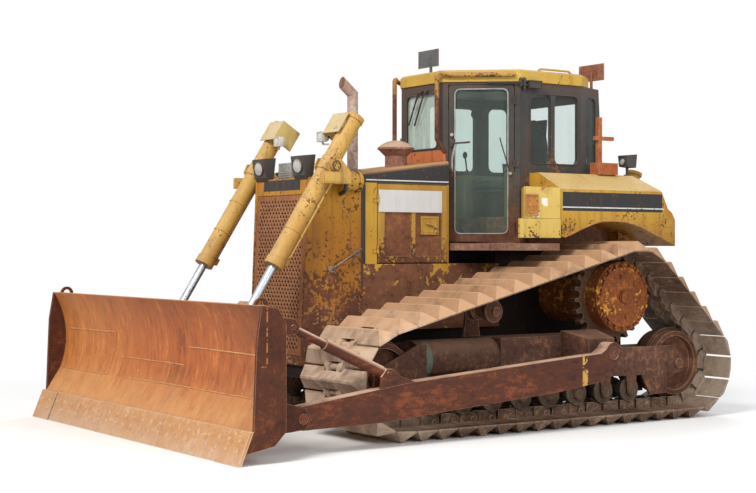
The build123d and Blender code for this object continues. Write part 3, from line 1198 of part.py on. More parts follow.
with BuildPart() as lift_rod:
    with BuildSketch(LIFT_PLANE.offset(ROD_INNER)):
        Circle(ROD_RADIUS)
    extrude(amount=lift_length - ROD_INNER - 20)
    with BuildSketch(side_plane(LIFT_Y + 38)):
        with Locations((fwd(LIFT_PIN[0]), LIFT_PIN[1])):
            Circle(54)
    extrude(amount=76)
save_pair("lift_rod", lift_rod.part)

YOKE_EAR = 22
with BuildPart() as lift_yokes:
    yoke = [(3290, 2100), (3420, 2100), (LIFT_PIVOT[0] + 60, LIFT_PIVOT[1] - 50),
            (LIFT_PIVOT[0] + 75, LIFT_PIVOT[1]),
            (LIFT_PIVOT[0] + 40, LIFT_PIVOT[1] + 70), (LIFT_PIVOT[0] - 50, LIFT_PIVOT[1] + 70), (3290,
                                                                                                 2200)]
    for y0, y1 in [(BODY_HALF, BODY_HALF + YOKE_EAR), (LIFT_Y + 84, LIFT_Y + 84 + YOKE_EAR)]:
        with BuildSketch(side_plane(y1)):
            outline(yoke)
            with Locations((fwd(LIFT_PIVOT[0]), LIFT_PIVOT[1])):
                Circle(YOKE_PIN + 1, mode=Mode.SUBTRACT)
        extrude(amount=y1 - y0)
    with BuildSketch(side_plane(LIFT_Y + 84 + YOKE_EAR + 12)):
        with Locations((fwd(LIFT_PIVOT[0]), LIFT_PIVOT[1])):
            Circle(54)
    extrude(amount=12)
    with BuildSketch(side_plane(LIFT_Y + 90)):
        outline([(3290, 2100), (3385, 2100), (3385, 2170), (3290, 2170)])
    extrude(amount=LIFT_Y + 90 - BODY_HALF - 5)
    mirror(about=Plane.XZ)
save("lift_yokes", lift_yokes.part)
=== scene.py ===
"""Looks of a crawler bulldozer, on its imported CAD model. Metres: +X towards the blade, +Y to the machine's
left, +Z up. Each section below is one piece or group of like pieces, in the order they are put together."""

import random
from math import cos, hypot, pi, radians, sin

import bmesh
import bpy
from mathutils import Matrix, Vector
from mathutils.bvhtree import BVHTree


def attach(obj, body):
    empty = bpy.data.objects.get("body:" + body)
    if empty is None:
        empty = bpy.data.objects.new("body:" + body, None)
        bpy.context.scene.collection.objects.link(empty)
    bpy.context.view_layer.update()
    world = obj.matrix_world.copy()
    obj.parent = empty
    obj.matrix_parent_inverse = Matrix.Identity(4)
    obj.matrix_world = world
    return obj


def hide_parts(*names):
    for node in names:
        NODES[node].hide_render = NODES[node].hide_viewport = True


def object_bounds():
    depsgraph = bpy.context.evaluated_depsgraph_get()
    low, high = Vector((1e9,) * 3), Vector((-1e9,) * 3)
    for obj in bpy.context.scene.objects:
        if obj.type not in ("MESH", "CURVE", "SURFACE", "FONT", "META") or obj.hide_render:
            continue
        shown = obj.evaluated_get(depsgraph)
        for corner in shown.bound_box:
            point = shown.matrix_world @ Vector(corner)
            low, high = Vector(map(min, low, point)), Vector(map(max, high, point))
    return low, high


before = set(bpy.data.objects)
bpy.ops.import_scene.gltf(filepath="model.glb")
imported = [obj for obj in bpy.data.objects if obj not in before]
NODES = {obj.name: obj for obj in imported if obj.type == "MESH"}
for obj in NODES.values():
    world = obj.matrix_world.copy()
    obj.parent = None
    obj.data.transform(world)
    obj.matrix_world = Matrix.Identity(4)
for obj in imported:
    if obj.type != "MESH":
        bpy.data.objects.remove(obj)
cad_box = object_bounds()
bpy.context.scene.view_settings.view_transform = "Standard"


# ---------------- camera, floor and light
# The machine stands on a pale floor under soft light from above and in front, seen from its left front
# corner at about the height of an operator's eye.
camera_data = bpy.data.cameras.new("camera")
camera_data.lens = 71.39
camera_data.sensor_width = 36
camera_data.shift_x = 0.0027
camera_data.shift_y = -0.0057
camera_data.clip_end = 200
camera = bpy.data.objects.new("camera", camera_data)
heading, tilt, roll = radians(-124.253), radians(0.203), radians(0.076)
camera.location = (8.0216, 11.2886, 1.5631)
look = Vector((cos(heading) * cos(tilt), sin(heading) * cos(tilt), sin(tilt)))
aim = look.to_track_quat("-Z", "Y") @ Matrix.Rotation(roll, 3, "Z").to_quaternion()
camera.rotation_euler = aim.to_euler()
bpy.context.collection.objects.link(camera)
bpy.context.scene.camera = camera


def feed(tree, inputs, values):
    """Sets inputs by name or number; a value is a constant or a socket that feeds it. Colours are opaque."""
    for key, value in values.items():
        if isinstance(value, bpy.types.NodeSocket):
            tree.links.new(value, inputs[key])
        elif inputs[key].type == "RGBA":
            inputs[key].default_value = (*value[:3], 1)
        else:
            inputs[key].default_value = value


def node(tree, kind, inputs=None, **settings):
    """Adds a shader node with these settings and inputs."""
    made = tree.nodes.new("ShaderNode" + kind)
    for key, value in settings.items():
        setattr(made, key, value)
    feed(tree, made.inputs, inputs or {})
    return made


def sums(tree, operation, first, second=0.0, third=0.0, clamp=False):
    """Socket of a Math node."""
    inputs = {0: first, 1: second, 2: third}
    return node(tree, "Math", inputs, operation=operation, use_clamp=clamp).outputs[0]


def times(tree, first, second):
    """Socket of a product."""
    return sums(tree, "MULTIPLY", first, second)


def step(tree, value, low, high, to_low=0.0, to_high=1.0):
    """Socket that goes smoothly from one amount to another while the value goes from low to high."""
    return node(tree, "MapRange", {"Value": value, "From Min": low, "From Max": high, "To Min": to_low,
                                   "To Max": to_high}, interpolation_type="SMOOTHSTEP").outputs["Result"]


def place_on(tree):
    """Socket of the place on the object."""
    return node(tree, "TexCoord").outputs["Object"]


def material(name):
    """A new material, its node tree and its Principled shader."""
    made = bpy.data.materials.new(name)
    made.use_nodes = True
    return made, made.node_tree, made.node_tree.nodes["Principled BSDF"]


def surfaced(tree, amount, under, over):
    """Two shaders mixed, as the material's surface."""
    both = node(tree, "MixShader", {0: amount, 1: under.outputs[0], 2: over.outputs[0]})
    feed(tree, tree.nodes["Material Output"].inputs, {"Surface": both.outputs[0]})


def white_seen(tree):
    """Socket that is 1 for the rays that see the background: camera, mirror and glass rays."""
    rays = node(tree, "LightPath").outputs
    seen = sums(tree, "MAXIMUM", rays["Is Camera Ray"], rays["Is Glossy Ray"])
    return sums(tree, "MAXIMUM", seen, rays["Is Transmission Ray"])


floor_finish, tree, plaster = material("floor_finish")
feed(tree, plaster.inputs, {"Base Color": (0.93, 0.93, 0.93), "Roughness": 0.9, "Specular IOR Level": 0.1})
reach = node(tree, "VectorMath", {0: place_on(tree)}, operation="LENGTH").outputs["Value"]
glow = node(tree, "Emission", {"Color": (1, 1, 1), "Strength": 1})
surfaced(tree, times(tree, step(tree, reach, 3.4, 6.5), white_seen(tree)), plaster, glow)
bpy.ops.object.select_all(action="DESELECT")
bpy.ops.mesh.primitive_plane_add(size=160, location=(0, 0, cad_box[0][2] - 0.001))
floor = bpy.context.object
floor.name = "floor"
floor.data.materials.append(floor_finish)

world = bpy.data.worlds.new("studio")
bpy.context.scene.world = world
world.use_nodes = True
tree = world.node_tree
tree.nodes.clear()
soft = node(tree, "Background", {"Color": (0.96, 0.98, 1), "Strength": 0.58})
white = node(tree, "Background", {"Color": (1, 1, 1), "Strength": 1})
sky = node(tree, "MixShader", {0: white_seen(tree), 1: soft.outputs[0], 2: white.outputs[0]})
node(tree, "OutputWorld", {"Surface": sky.outputs[0]})

for name, place, size, power, colour in [
        ("key_light", (10, 6, 11), 5, 1720, (1, 0.96, 0.9)),
        ("fill_light", (-2, 12, 7), 7, 450, (0.95, 0.98, 1)),
        ("rear_light", (-9, -6, 8), 6, 400, (1, 1, 1))]:
    data = bpy.data.lights.new(name, "AREA")
    data.shape = "DISK"
    data.size = size
    data.energy = power
    data.color = colour
    lamp = bpy.data.objects.new(name, data)
    lamp.location = place
    lamp.rotation_euler = (Vector((0, 0, 1)) - Vector(place)).to_track_quat("-Z", "Y").to_euler()
    bpy.context.collection.objects.link(lamp)


# ---------------- track frames, rollers, idlers and beams
# Welded box frames carry the idlers, sprung at their front through a recoil tube, and the bottom rollers.
# Cast and welded steel, bare and rusted brown, packed with dried mud.
def group(name, inputs, outputs):
    """A shader node group with these inputs, label to start value, and outputs, label to kind of socket.
    Gives its tree, the place on the object, and its inputs and outputs as they are inside it."""
    tree = bpy.data.node_groups.new(name, "ShaderNodeTree")
    for label, value in inputs.items():
        kind = "Float" if isinstance(value, (int, float)) else "Color" if len(value) == 4 else "Vector"
        made = tree.interface.new_socket(label, in_out="INPUT", socket_type="NodeSocket" + kind)
        made.default_value = value
    for label, kind in outputs.items():
        tree.interface.new_socket(label, in_out="OUTPUT", socket_type="NodeSocket" + kind)
    source, drain = tree.nodes.new("NodeGroupInput"), tree.nodes.new("NodeGroupOutput")
    return tree, place_on(tree), source.outputs, drain.inputs


def grain(tree, place, scale, detail=4.0, roughness=0.55, warp=0.0):
    """Socket of a noise that has been spread over 0 to 1."""
    made = node(tree, "TexNoise", {"Vector": place, "Scale": scale, "Detail": detail, "Roughness": roughness,
                                   "Distortion": warp}).outputs["Fac"]
    return node(tree, "MapRange", {"Value": made, "From Min": 0.3, "From Max": 0.7}).outputs["Result"]


def blended(tree, amount, under, over):
    """Socket of two colours mixed."""
    return node(tree, "Mix", {0: amount, 6: under, 7: over}, data_type="RGBA").outputs[2]


def parted(tree, vector):
    """Sockets X, Y and Z of a vector."""
    return node(tree, "SeparateXYZ", {0: vector}).outputs


def shares(tree, *parts):
    """Socket of values added up, each given as (value, its share)."""
    total = 0.0
    for value, share in reversed(parts):
        total = sums(tree, "MULTIPLY_ADD", value, share, total)
    return total


# Rust of three depths, in clouds that break up into blotches and grains.
tree, spot, source, drain = group("rust_bloom", {
    "Dark": (0.1, 0.04, 0.02, 1), "Mid": (0.2, 0.08, 0.04, 1), "Bright": (0.4, 0.18, 0.08, 1), "Scale": 1.0,
    "Stretch": (1, 1, 1)}, {"Color": "Color", "Height": "Float"})
spot = node(tree, "VectorMath", {0: spot, 1: source["Stretch"]}, operation="MULTIPLY").outputs[0]
spot = node(tree, "VectorMath", {0: spot, "Scale": source["Scale"]}, operation="SCALE").outputs[0]
cloud = grain(tree, spot, 1.9, 5.0, 0.62, 0.6)
blotch = grain(tree, spot, 13.0, 6.0, 0.65, 0.3)
sand = grain(tree, spot, 70.0, 4.0, 0.7)
depth = shares(tree, (cloud, 0.34), (blotch, 0.4), (sand, 0.26))
tone = blended(tree, step(tree, depth, 0.26, 0.47), source["Dark"], source["Mid"])
tone = blended(tree, step(tree, depth, 0.52, 0.74), tone, source["Bright"])
feed(tree, drain, {"Color": tone, "Height": shares(tree, (sand, 0.5), (blotch, 0.5))})

# Rubbed edges and corners, broken up.
tree, spot, source, drain = group("edge_wear", {
    "Radius": 0.006, "Reach": 1.0, "Scale": 20.0}, {"Mask": "Float"})
turned = node(tree, "Bevel", {"Radius": source["Radius"]}, samples=4).outputs[0]
flat = node(tree, "NewGeometry").outputs["Normal"]
same = node(tree, "VectorMath", {0: turned, 1: flat}, operation="DOT_PRODUCT").outputs["Value"]
bent = times(tree, sums(tree, "SUBTRACT", 1.0, same), source["Reach"])
ragged = sums(tree, "MULTIPLY_ADD", grain(tree, spot, source["Scale"], 5.0, 0.65), 6.0, 1.0)
feed(tree, drain, {"Mask": step(tree, times(tree, bent, ragged), 0.12, 0.5)})

# Dust that lies on what faces up, from a height.
tree, spot, source, drain = group("settled_dust", {
    "Amount": 0.5, "Scale": 3.0, "Above": -1.0}, {"Mask": "Float"})
up = parted(tree, node(tree, "NewGeometry").outputs["Normal"])["Z"]
over = sums(tree, "SUBTRACT", parted(tree, spot)["Z"], source["Above"])
lies = times(tree, step(tree, up, 0.1, 0.75), step(tree, over, -0.2, 0.2))
patchy = step(tree, grain(tree, spot, source["Scale"], 6.0, 0.65), 0.0, 0.6, 0.35, 1.0)
feed(tree, drain, {"Mask": sums(tree, "MULTIPLY", times(tree, lies, patchy), source["Amount"], clamp=True)})

# Chips and flaked patches in paint: more of them between one height and another.
tree, spot, source, drain = group("paint_chips", {
    "Low": 0.0, "High": 3.0, "Amount Low": 0.5, "Amount High": 0.1, "Spots": 14.0}, {"Mask": "Float"})
share = node(tree, "MapRange", {"Value": parted(tree, spot)["Z"], "From Min": source["Low"],
                                "From Max": source["High"], "To Min": source["Amount Low"],
                                "To Max": source["Amount High"]}).outputs[0]
fine = grain(tree, spot, source["Spots"], 4.0, 0.6, 0.1)
broad = grain(tree, spot, times(tree, source["Spots"], 0.13), 6.0, 0.65, 0.2)
lost = sums(tree, "ADD", shares(tree, (fine, 0.55), (broad, 0.45)), sums(tree, "SUBTRACT", share, 1.0))
feed(tree, drain, {"Mask": step(tree, lost, -0.012, 0.012)})

# Rain runs and scrapes down a wall.
tree, spot, source, drain = group("rain_runs", {"Amount": 0.5, "Scale": 14.0}, {"Mask": "Float"})
spot = node(tree, "VectorMath", {0: spot, 1: (1, 1, 0.07)}, operation="MULTIPLY").outputs[0]
line = step(tree, grain(tree, spot, source["Scale"], 5.0, 0.6), 0.45, 1.0)
feed(tree, drain, {"Mask": times(tree, line, source["Amount"])})


def placed(tree, shared, **values):
    """Sockets of a shared group put into a material with its own values; names have _ for a space."""
    labelled = {label.replace("_", " ").title(): value for label, value in values.items()}
    return node(tree, "Group", labelled, node_tree=bpy.data.node_groups[shared]).outputs


def zone(tree, spot, **limits):
    """Socket that is 1 inside a box; limits are x, y and z as (low, high), y on both sides of the machine."""
    parts = parted(tree, spot)
    inside = 1.0
    for axis, (low, high) in limits.items():
        value = sums(tree, "ABSOLUTE", parts["Y"]) if axis == "y" else parts[axis.upper()]
        inside = times(tree, inside, sums(tree, "COMPARE", value, (low + high) / 2, (high - low) / 2))
    return inside


def marked(tree, spot, colour, marks):
    """Socket of a colour with boxes of others over it: (colour, zone limits, how ragged, from 0 to 1)."""
    for mark, limits, ragged in marks:
        inside = zone(tree, spot, **limits)
        if ragged:
            torn = grain(tree, spot, 16.0, 5.0, 0.65, 0.4)
            inside = times(tree, inside, step(tree, torn, ragged - 0.03, ragged + 0.03))
        colour = blended(tree, inside, colour, mark)
    return colour


def drifted(tree, spot, colour, stains):
    """Socket of a colour with stains over it in clouds. Each is (colour, axis, start, end, amount), and
    thickens along the axis from its start to its end; "|Y|" is the distance from the machine's middle."""
    parts = parted(tree, spot)
    for stain, axis, start, end, amount in stains:
        place = sums(tree, "ABSOLUTE", parts["Y"]) if axis == "|Y|" else parts[axis]
        if start > end:
            share = step(tree, place, end, start, amount, 0.0)
        else:
            share = step(tree, place, start, end, 0.0, amount)
        cloudy = step(tree, grain(tree, spot, 5.0, 7.0, 0.7, 0.5), 0.1, 0.75, 0.35, 1.0)
        colour = blended(tree, times(tree, share, cloudy), colour, stain)
    return colour


CHIPS = (0, 3, 0.3, 0.3, 14)


def weathered(name, bare, coat=None, chips=CHIPS, scale=1.0, stretch=(1, 1, 1), edge=(0.006, 1.0),
              worn=(0.42, 0.3, 0.22), dust=((0.5, 0.32, 0.19), 0.3), above=-1.0, runs=0.25, run_scale=14.0,
              rough=(0.5, 0.8), relief=0.5, marks=(), drift=()):
    """Steel: bare is its rust (dark, mid, bright); coat is (colour, faded colour) of paint over it, lost in
    chips (low, high, amount low, amount high, spots a metre). edge is how far rubbed edges reach and how
    strongly, and worn is their colour on bare steel. dust is (colour, amount), lying from a height above.
    rough is for paint and for rust. marks and drift are laid on as marked() and drifted() say."""
    finish, tree, shader = material(name)
    spot = place_on(tree)
    rust = placed(tree, "rust_bloom", dark=bare[0], mid=bare[1], bright=bare[2], scale=scale, stretch=stretch)
    rubbed = placed(tree, "edge_wear", radius=edge[0], reach=edge[1])["Mask"]
    streaks = placed(tree, "rain_runs", amount=runs, scale=run_scale)["Mask"]
    lying = placed(tree, "settled_dust", amount=dust[1], above=above)["Mask"]
    colour, height = rust["Color"], rust["Height"]
    coarse = step(tree, height, 0.2, 0.9, rough[1] - 0.12, rough[1] + 0.08)
    if coat:
        flaked = placed(tree, "paint_chips", low=chips[0], high=chips[1], amount_low=chips[2],
                        amount_high=chips[3], spots=chips[4])["Mask"]
        gone = sums(tree, "MAXIMUM", flaked, rubbed)
        kept = sums(tree, "SUBTRACT", 1.0, gone)
        paint = blended(tree, grain(tree, spot, 2.3, 5.0, 0.6), *coat)
        paint = marked(tree, spot, drifted(tree, spot, paint, drift), marks)
        paint = blended(tree, streaks, paint, bare[1])
        colour = blended(tree, gone, paint, colour)
        smooth = step(tree, height, 0, 1, rough[0] - 0.06, rough[0] + 0.1)
        coarse = sums(tree, "ADD", times(tree, gone, coarse), times(tree, kept, smooth))
        pitted = times(tree, height, sums(tree, "MULTIPLY_ADD", gone, 0.5, 0.05))
        height = sums(tree, "MULTIPLY_ADD", kept, 0.6, pitted)
    else:
        colour = marked(tree, spot, drifted(tree, spot, colour, drift), marks)
        colour = blended(tree, streaks, colour, bare[0])
        colour = blended(tree, rubbed, colour, worn)
        coarse = sums(tree, "SUBTRACT", coarse, times(tree, rubbed, 0.25))
    colour = blended(tree, lying, colour, dust[0])
    coarse = sums(tree, "ADD", coarse, times(tree, lying, 0.25), clamp=True)
    relieved = node(tree, "Bump", {"Strength": relief, "Distance": 0.003, "Height": height}).outputs[0]
    feed(tree, shader.inputs, {"Base Color": colour, "Roughness": coarse, "Specular IOR Level": 0.22,
                               "Normal": relieved})
    return finish


def give(finish, *names):
    """These CAD nodes wear a finish all over."""
    for name in names:
        NODES[name].data.materials.clear()
        NODES[name].data.materials.append(finish)


def give_faces(finish, name, test):
    """The faces of a CAD node whose centre and normal pass the test wear another finish."""
    mesh = NODES[name].data
    mesh.materials.append(finish)
    for face in mesh.polygons:
        if test(face.center, face.normal):
            face.material_index = len(mesh.materials) - 1


frame_rust = weathered("frame_rust", ((0.042, 0.02, 0.014), (0.1, 0.045, 0.03), (0.24, 0.11, 0.06)),
                       worn=(0.26, 0.14, 0.09), dust=((0.3, 0.175, 0.11), 0.5), scale=1.5, marks=(
                           ((0.13, 0.165, 0.125), dict(x=(0.63, 0.69), y=(0.8, 1.3), z=(0.4, 0.82)), 0.3),))
give(frame_rust, "track_frames", "cross_beams")
give(weathered("roller_iron", ((0.05, 0.035, 0.026), (0.1, 0.068, 0.045), (0.17, 0.11, 0.07)), scale=2.0,
               edge=(0.008, 1.4), worn=(0.3, 0.24, 0.19), dust=((0.2, 0.13, 0.09), 0.3)), "track_rollers")
give(weathered("idler_iron", ((0.055, 0.022, 0.013), (0.11, 0.042, 0.023), (0.21, 0.09, 0.045)), scale=1.6,
               edge=(0.01, 1.3), worn=(0.36, 0.26, 0.19), dust=((0.3, 0.18, 0.11), 0.3)),
     "idlers", "carrier_rollers")


# ---------------- final drives and sprockets
# The raised drives at the rear top: a bolted bell housing on the case and a toothed rim bolted round it.
# Cast steel; the housing was painted and keeps orange-yellow flecks, and the teeth are rubbed bright.
X, Y, Z = Vector((1, 0, 0)), Vector((0, 1, 0)), Vector((0, 0, 1))


def alone(*pieces):
    """Selects these pieces and no others; the first is the active one."""
    bpy.ops.object.select_all(action="DESELECT")
    for piece in pieces:
        piece.select_set(True)
    bpy.context.view_layer.objects.active = pieces[0]


def primitive(kind, **where):
    """A new primitive, alone in the selection."""
    bpy.ops.object.select_all(action="DESELECT")
    getattr(bpy.ops.mesh, f"primitive_{kind}_add")(**where)
    return bpy.context.object


def scaled(piece, size=(1, 1, 1)):
    """A selected piece brought to size, with its place and turn taken into its mesh."""
    piece.scale = size
    bpy.ops.object.transform_apply(location=True, rotation=True, scale=True)
    return piece


def box(size, place=(0, 0, 0)):
    """A block of this size with its middle at a place."""
    return scaled(primitive("cube", size=1, location=place), size)


def disc(sides, radius, depth, place=(0, 0, 0), along=Z):
    """A cylinder of this many sides with its middle at a place and its axis along X, Y or Z."""
    turn = (radians(90) * along.y, radians(90) * along.x, 0)
    return scaled(primitive("cylinder", vertices=sides, radius=radius, depth=depth, location=place,
                            rotation=turn))


def selected(piece, test):
    """Edit mode, with only the faces selected whose normal passes the test."""
    bpy.ops.object.mode_set(mode="EDIT")
    bpy.ops.mesh.select_mode(type="FACE")
    bpy.ops.mesh.select_all(action="DESELECT")
    shape = bmesh.from_edit_mesh(piece.data)
    shape.normal_update()
    for face in shape.faces:
        face.select_set(test(face.normal))
    bmesh.update_edit_mesh(piece.data)


def pressed(piece, ways, *steps):
    """Works on the faces that look any of these ways. Each step insets them, then pushes them by a vector, or
    by a distance out along their own normals, and may end with a scale."""
    selected(piece, lambda normal: any(normal.dot(way) > 0.9 for way in ways))
    for inset, push, *scale in steps:
        if inset:
            bpy.ops.mesh.inset(thickness=inset)
        if isinstance(push, Vector):
            bpy.ops.mesh.extrude_region_move(TRANSFORM_OT_translate={"value": tuple(push)})
        elif push:
            bpy.ops.mesh.extrude_region_shrink_fatten(TRANSFORM_OT_shrink_fatten={"value": push})
        if scale:
            bpy.ops.transform.resize(value=scale[0])
    bpy.ops.object.mode_set(mode="OBJECT")
    return piece


def shaped(piece, kind, **settings):
    """Puts a modifier on the active piece and applies it."""
    modifier = piece.modifiers.new("shaped", kind)
    for key, value in settings.items():
        setattr(modifier, key, value)
    bpy.ops.object.modifier_apply(modifier="shaped")


def outward():
    """Turns the active piece's faces outward, with points that coincide made one."""
    bpy.ops.object.mode_set(mode="EDIT")
    bpy.ops.mesh.select_all(action="SELECT")
    bpy.ops.mesh.remove_doubles(threshold=1e-5)
    bpy.ops.mesh.normals_make_consistent(inside=False)
    bpy.ops.object.mode_set(mode="OBJECT")


def stood(place, way, side="Y"):
    """Matrix that moves a piece from the origin to a place and turns its top to look a way."""
    return Matrix.Translation(place) @ way.to_track_quat("Z", side).to_matrix().to_4x4()


def twin(piece, move):
    """A copy of a piece, its mesh moved by a matrix."""
    made = piece.copy()
    made.data = piece.data.copy()
    made.data.transform(move)
    bpy.context.collection.objects.link(made)
    return made


def joined(pieces):
    """Several new pieces made one."""
    alone(*pieces)
    bpy.ops.object.join()
    return pieces[0]


def repeated(piece, moves):
    """One piece made of copies of another, each moved by its matrix; the first one is used up."""
    copies = [twin(piece, move) for move in moves]
    bpy.data.objects.remove(piece)
    return joined(copies)


def finished(piece, name, body, finish, rounded=0.0):
    """Names a piece, rounds its edges, smooths it, gives it its finish and sets it on its body."""
    alone(piece)
    piece.name = piece.data.name = name
    if rounded:
        shaped(piece, "BEVEL", width=rounded, segments=2)
    bpy.ops.object.transform_apply(location=True, rotation=True, scale=True)
    bpy.ops.object.shade_smooth_by_angle(angle=radians(35))
    piece.data.materials.clear()
    piece.data.materials.append(finish)
    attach(piece, body)


def finished_pair(piece, name, body, finish, rounded=0.0):
    """Finishes a piece of the left side and its mirror image on the right; {} in body stands for the side."""
    finished(piece, name + "_left", body.format("left"), finish, rounded)
    other = twin(piece, Matrix.Scale(-1, 4, Y))
    other.name = other.data.name = name + "_right"
    other.parent = None
    other.data.flip_normals()
    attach(other, body.format("right"))


give(weathered("sprocket_iron", ((0.045, 0.026, 0.016), (0.105, 0.05, 0.026), (0.19, 0.1, 0.05)), scale=2.2,
               worn=(0.4, 0.27, 0.18), edge=(0.008, 1.5), dust=((0.22, 0.13, 0.08), 0.3)), "sprockets")
drive_rust = weathered("drive_rust", ((0.12, 0.032, 0.012), (0.21, 0.06, 0.018), (0.36, 0.12, 0.028)),
                       ((0.72, 0.36, 0.06), (0.5, 0.2, 0.03)), (0.8, 1.5, 0.72, 0.62, 24), scale=2.4,
                       edge=(0.004, 0.5), dust=((0.36, 0.17, 0.08), 0.2), rough=(0.6, 0.85))
give(drive_rust, "final_drives")

# Two rings of bolts on each housing, and the cap over the end of its axle.
AXLE = Vector((-1.482, 0, 1.12))
RIM_BOLTS, HUB_BOLTS = 20, 6
bolt = pressed(disc(6, 0.02, 0.014, along=Y), [-Y], (0.003, Y * -0.002))
rings = [(0.292, radians(360 / RIM_BOLTS * k), 1.32) for k in range(RIM_BOLTS)]
rings += [(0.18, radians(20 + 360 / HUB_BOLTS * k), 1.3275) for k in range(HUB_BOLTS)]
bolts = repeated(bolt, [
    Matrix.Translation(AXLE + Vector((radius * cos(angle), y, radius * sin(angle))))
    @ Matrix.Rotation(angle, 4, "Y") @ Matrix.Rotation(pi, 4, "Z") for radius, angle, y in rings])
finished_pair(bolts, "drive_bolts", "tractor", drive_rust, 0.0015)
cap = pressed(disc(24, 0.052, 0.02, AXLE + Y * 1.344, Y), [Y, -Y], (0.018, -0.008))
finished_pair(cap, "drive_cap", "tractor", drive_rust, 0.002)


# ---------------- track chains and shoes
# Two chains of forged links and pins, 915 mm swamp shoes of a triangular section bolted over them. Steel,
# rubbed on the ridges, with pale orange dust baked on wherever a shoe faces up on the top run.
# Dust lies only from 0.8 m up, so the lower run keeps its dark rust: painted shade under the machine.
give(weathered("track_steel", ((0.05, 0.028, 0.018), (0.14, 0.08, 0.05), (0.33, 0.215, 0.148)), scale=2.4,
               stretch=(1, 0.5, 1), worn=(0.46, 0.33, 0.25), edge=(0.007, 1.3),
               dust=((0.56, 0.33, 0.185), 0.95), above=0.8, runs=0.1, rough=(0.5, 0.72),
               drift=(((0.56, 0.42, 0.31), "X", 0.5, 1.1, 0.95), ((0.38, 0.31, 0.24), "X", -2.0, -2.5, 0.7))),
     "track_left", "track_right")


# ---------------- main frame, trunnions, engine and drawbar
# The welded case between the tracks carries everything else. Oily steel, dark with dirt and with painted
# shade.
give(weathered("belly_dirt_and_shade", ((0.01, 0.006, 0.004), (0.02, 0.011, 0.008), (0.045, 0.022, 0.014)),
               worn=(0.1, 0.055, 0.035), dust=((0.1, 0.055, 0.034), 0.3), scale=1.4),
     "main_frame", "engine_block", "drawbar")
give(frame_rust, "trunnions")


# ---------------- blade
# A straight blade: a rolled moldboard plate on box beams, ribs and end plates, with wear plates welded over
# its lower half. Bare steel, scoured to orange rust, with raised weld beads left rough and pale.
def bar(points, radius, turn=0.0, ring=False):
    """A round bar or bead along points, its corners bent to a radius: open with closed ends, or a ring."""
    points = [Vector(p) for p in points]
    route = [] if ring else [points[0]]
    if ring:
        points = points[-1:] + points + points[:1]
    for before, corner, after in zip(points, points[1:], points[2:]):
        a, b = (corner + (p - corner).normalized() * min(turn, (p - corner).length * 0.49)
                for p in (before, after))
        route += [(1 - t) ** 2 * a + 2 * t * (1 - t) * corner + t * t * b
                  for t in ([0, 0.25, 0.5, 0.75, 1] if turn else [0.5])]
    if not ring:
        route.append(points[-1])
    curve = bpy.data.curves.new("bar", "CURVE")
    curve.dimensions = "3D"
    curve.bevel_depth, curve.bevel_resolution, curve.use_fill_caps = radius, 3, True
    line = curve.splines.new("POLY")
    line.points.add(len(route) - 1)
    line.use_cyclic_u = ring
    for spot, place in zip(line.points, route):
        spot.co = (*place, 1)
    made = bpy.data.objects.new("bar", curve)
    bpy.context.collection.objects.link(made)
    alone(made)
    bpy.ops.object.convert(target="MESH")
    outward()
    return made


give(weathered("blade_rust", ((0.22, 0.055, 0.014), (0.4, 0.11, 0.026), (0.58, 0.22, 0.062)),
               stretch=(1, 1.8, 0.5), worn=(0.7, 0.38, 0.18), dust=((0.58, 0.3, 0.12), 0.55), runs=0.38,
               run_scale=22.0, rough=(0.5, 0.6),
               drift=(((0.17, 0.06, 0.032), "Y", 0.9, 1.9, 0.6), ((0.2, 0.06, 0.022), "Z", 0.75, 1.14, 0.5),
                      ((0.6, 0.25, 0.065), "Y", 0.3, -1.6, 0.45), ((0.66, 0.38, 0.17), "Z", 0.5, 0.25, 0.5),
                      ((0.13, 0.05, 0.035), "Y", 1.5, 1.95, 0.35))), "blade")
ORANGE_EDGE = (0.36, 0.13, 0.035)
give(weathered("rib_rust", ((0.04, 0.013, 0.007), (0.075, 0.022, 0.011), (0.15, 0.046, 0.019)), scale=1.2,
               worn=(0.42, 0.2, 0.1), dust=((0.4, 0.2, 0.1), 0.4), marks=(
                   (ORANGE_EDGE, dict(x=(2.6, 2.612), y=(1.94, 1.96), z=(0.7, 1.13)), 0.52),
                   (ORANGE_EDGE, dict(x=(2.6, 2.76), y=(1.94, 1.96), z=(0.7, 0.712)), 0.5))), "blade_ribs")

# Bolted edge segments and end bits of hard steel, polished by the ground to a pale pinkish brown.
SEAM = (0.03, 0.015, 0.01)
edge_steel = weathered("edge_steel", ((0.38, 0.16, 0.055), (0.5, 0.25, 0.1), (0.58, 0.38, 0.22)), scale=1.3,
                       stretch=(1, 0.8, 1.3), worn=(0.66, 0.55, 0.45), edge=(0.01, 1.4), runs=0.35,
                       run_scale=30.0, rough=(0.5, 0.5), drift=(((0.55, 0.42, 0.33), "Z", 0.16, 0.0, 0.55),),
                       marks=((SEAM, dict(y=(0.5285, 0.5375)), 0), (SEAM, dict(y=(1.594, 1.603)), 0),
                              ((0.46, 0.2, 0.07), dict(y=(0, 1.95), z=(0.13, 0.245)), 0.66)))
give(edge_steel, "cutting_edge")


def surface(name):
    """A CAD node's surface, as a tree that rays are cast on."""
    mesh = NODES[name].data
    return BVHTree.FromPolygons([v.co for v in mesh.vertices], [p.vertices for p in mesh.polygons])


def on_face(front, y, z, proud=0.0):
    """Point on a surface as seen from in front of the blade, or proud of it, and the normal there."""
    place, normal, _, _ = front.ray_cast(Vector((3.2, y, z)), -X)
    return place + normal * proud, normal


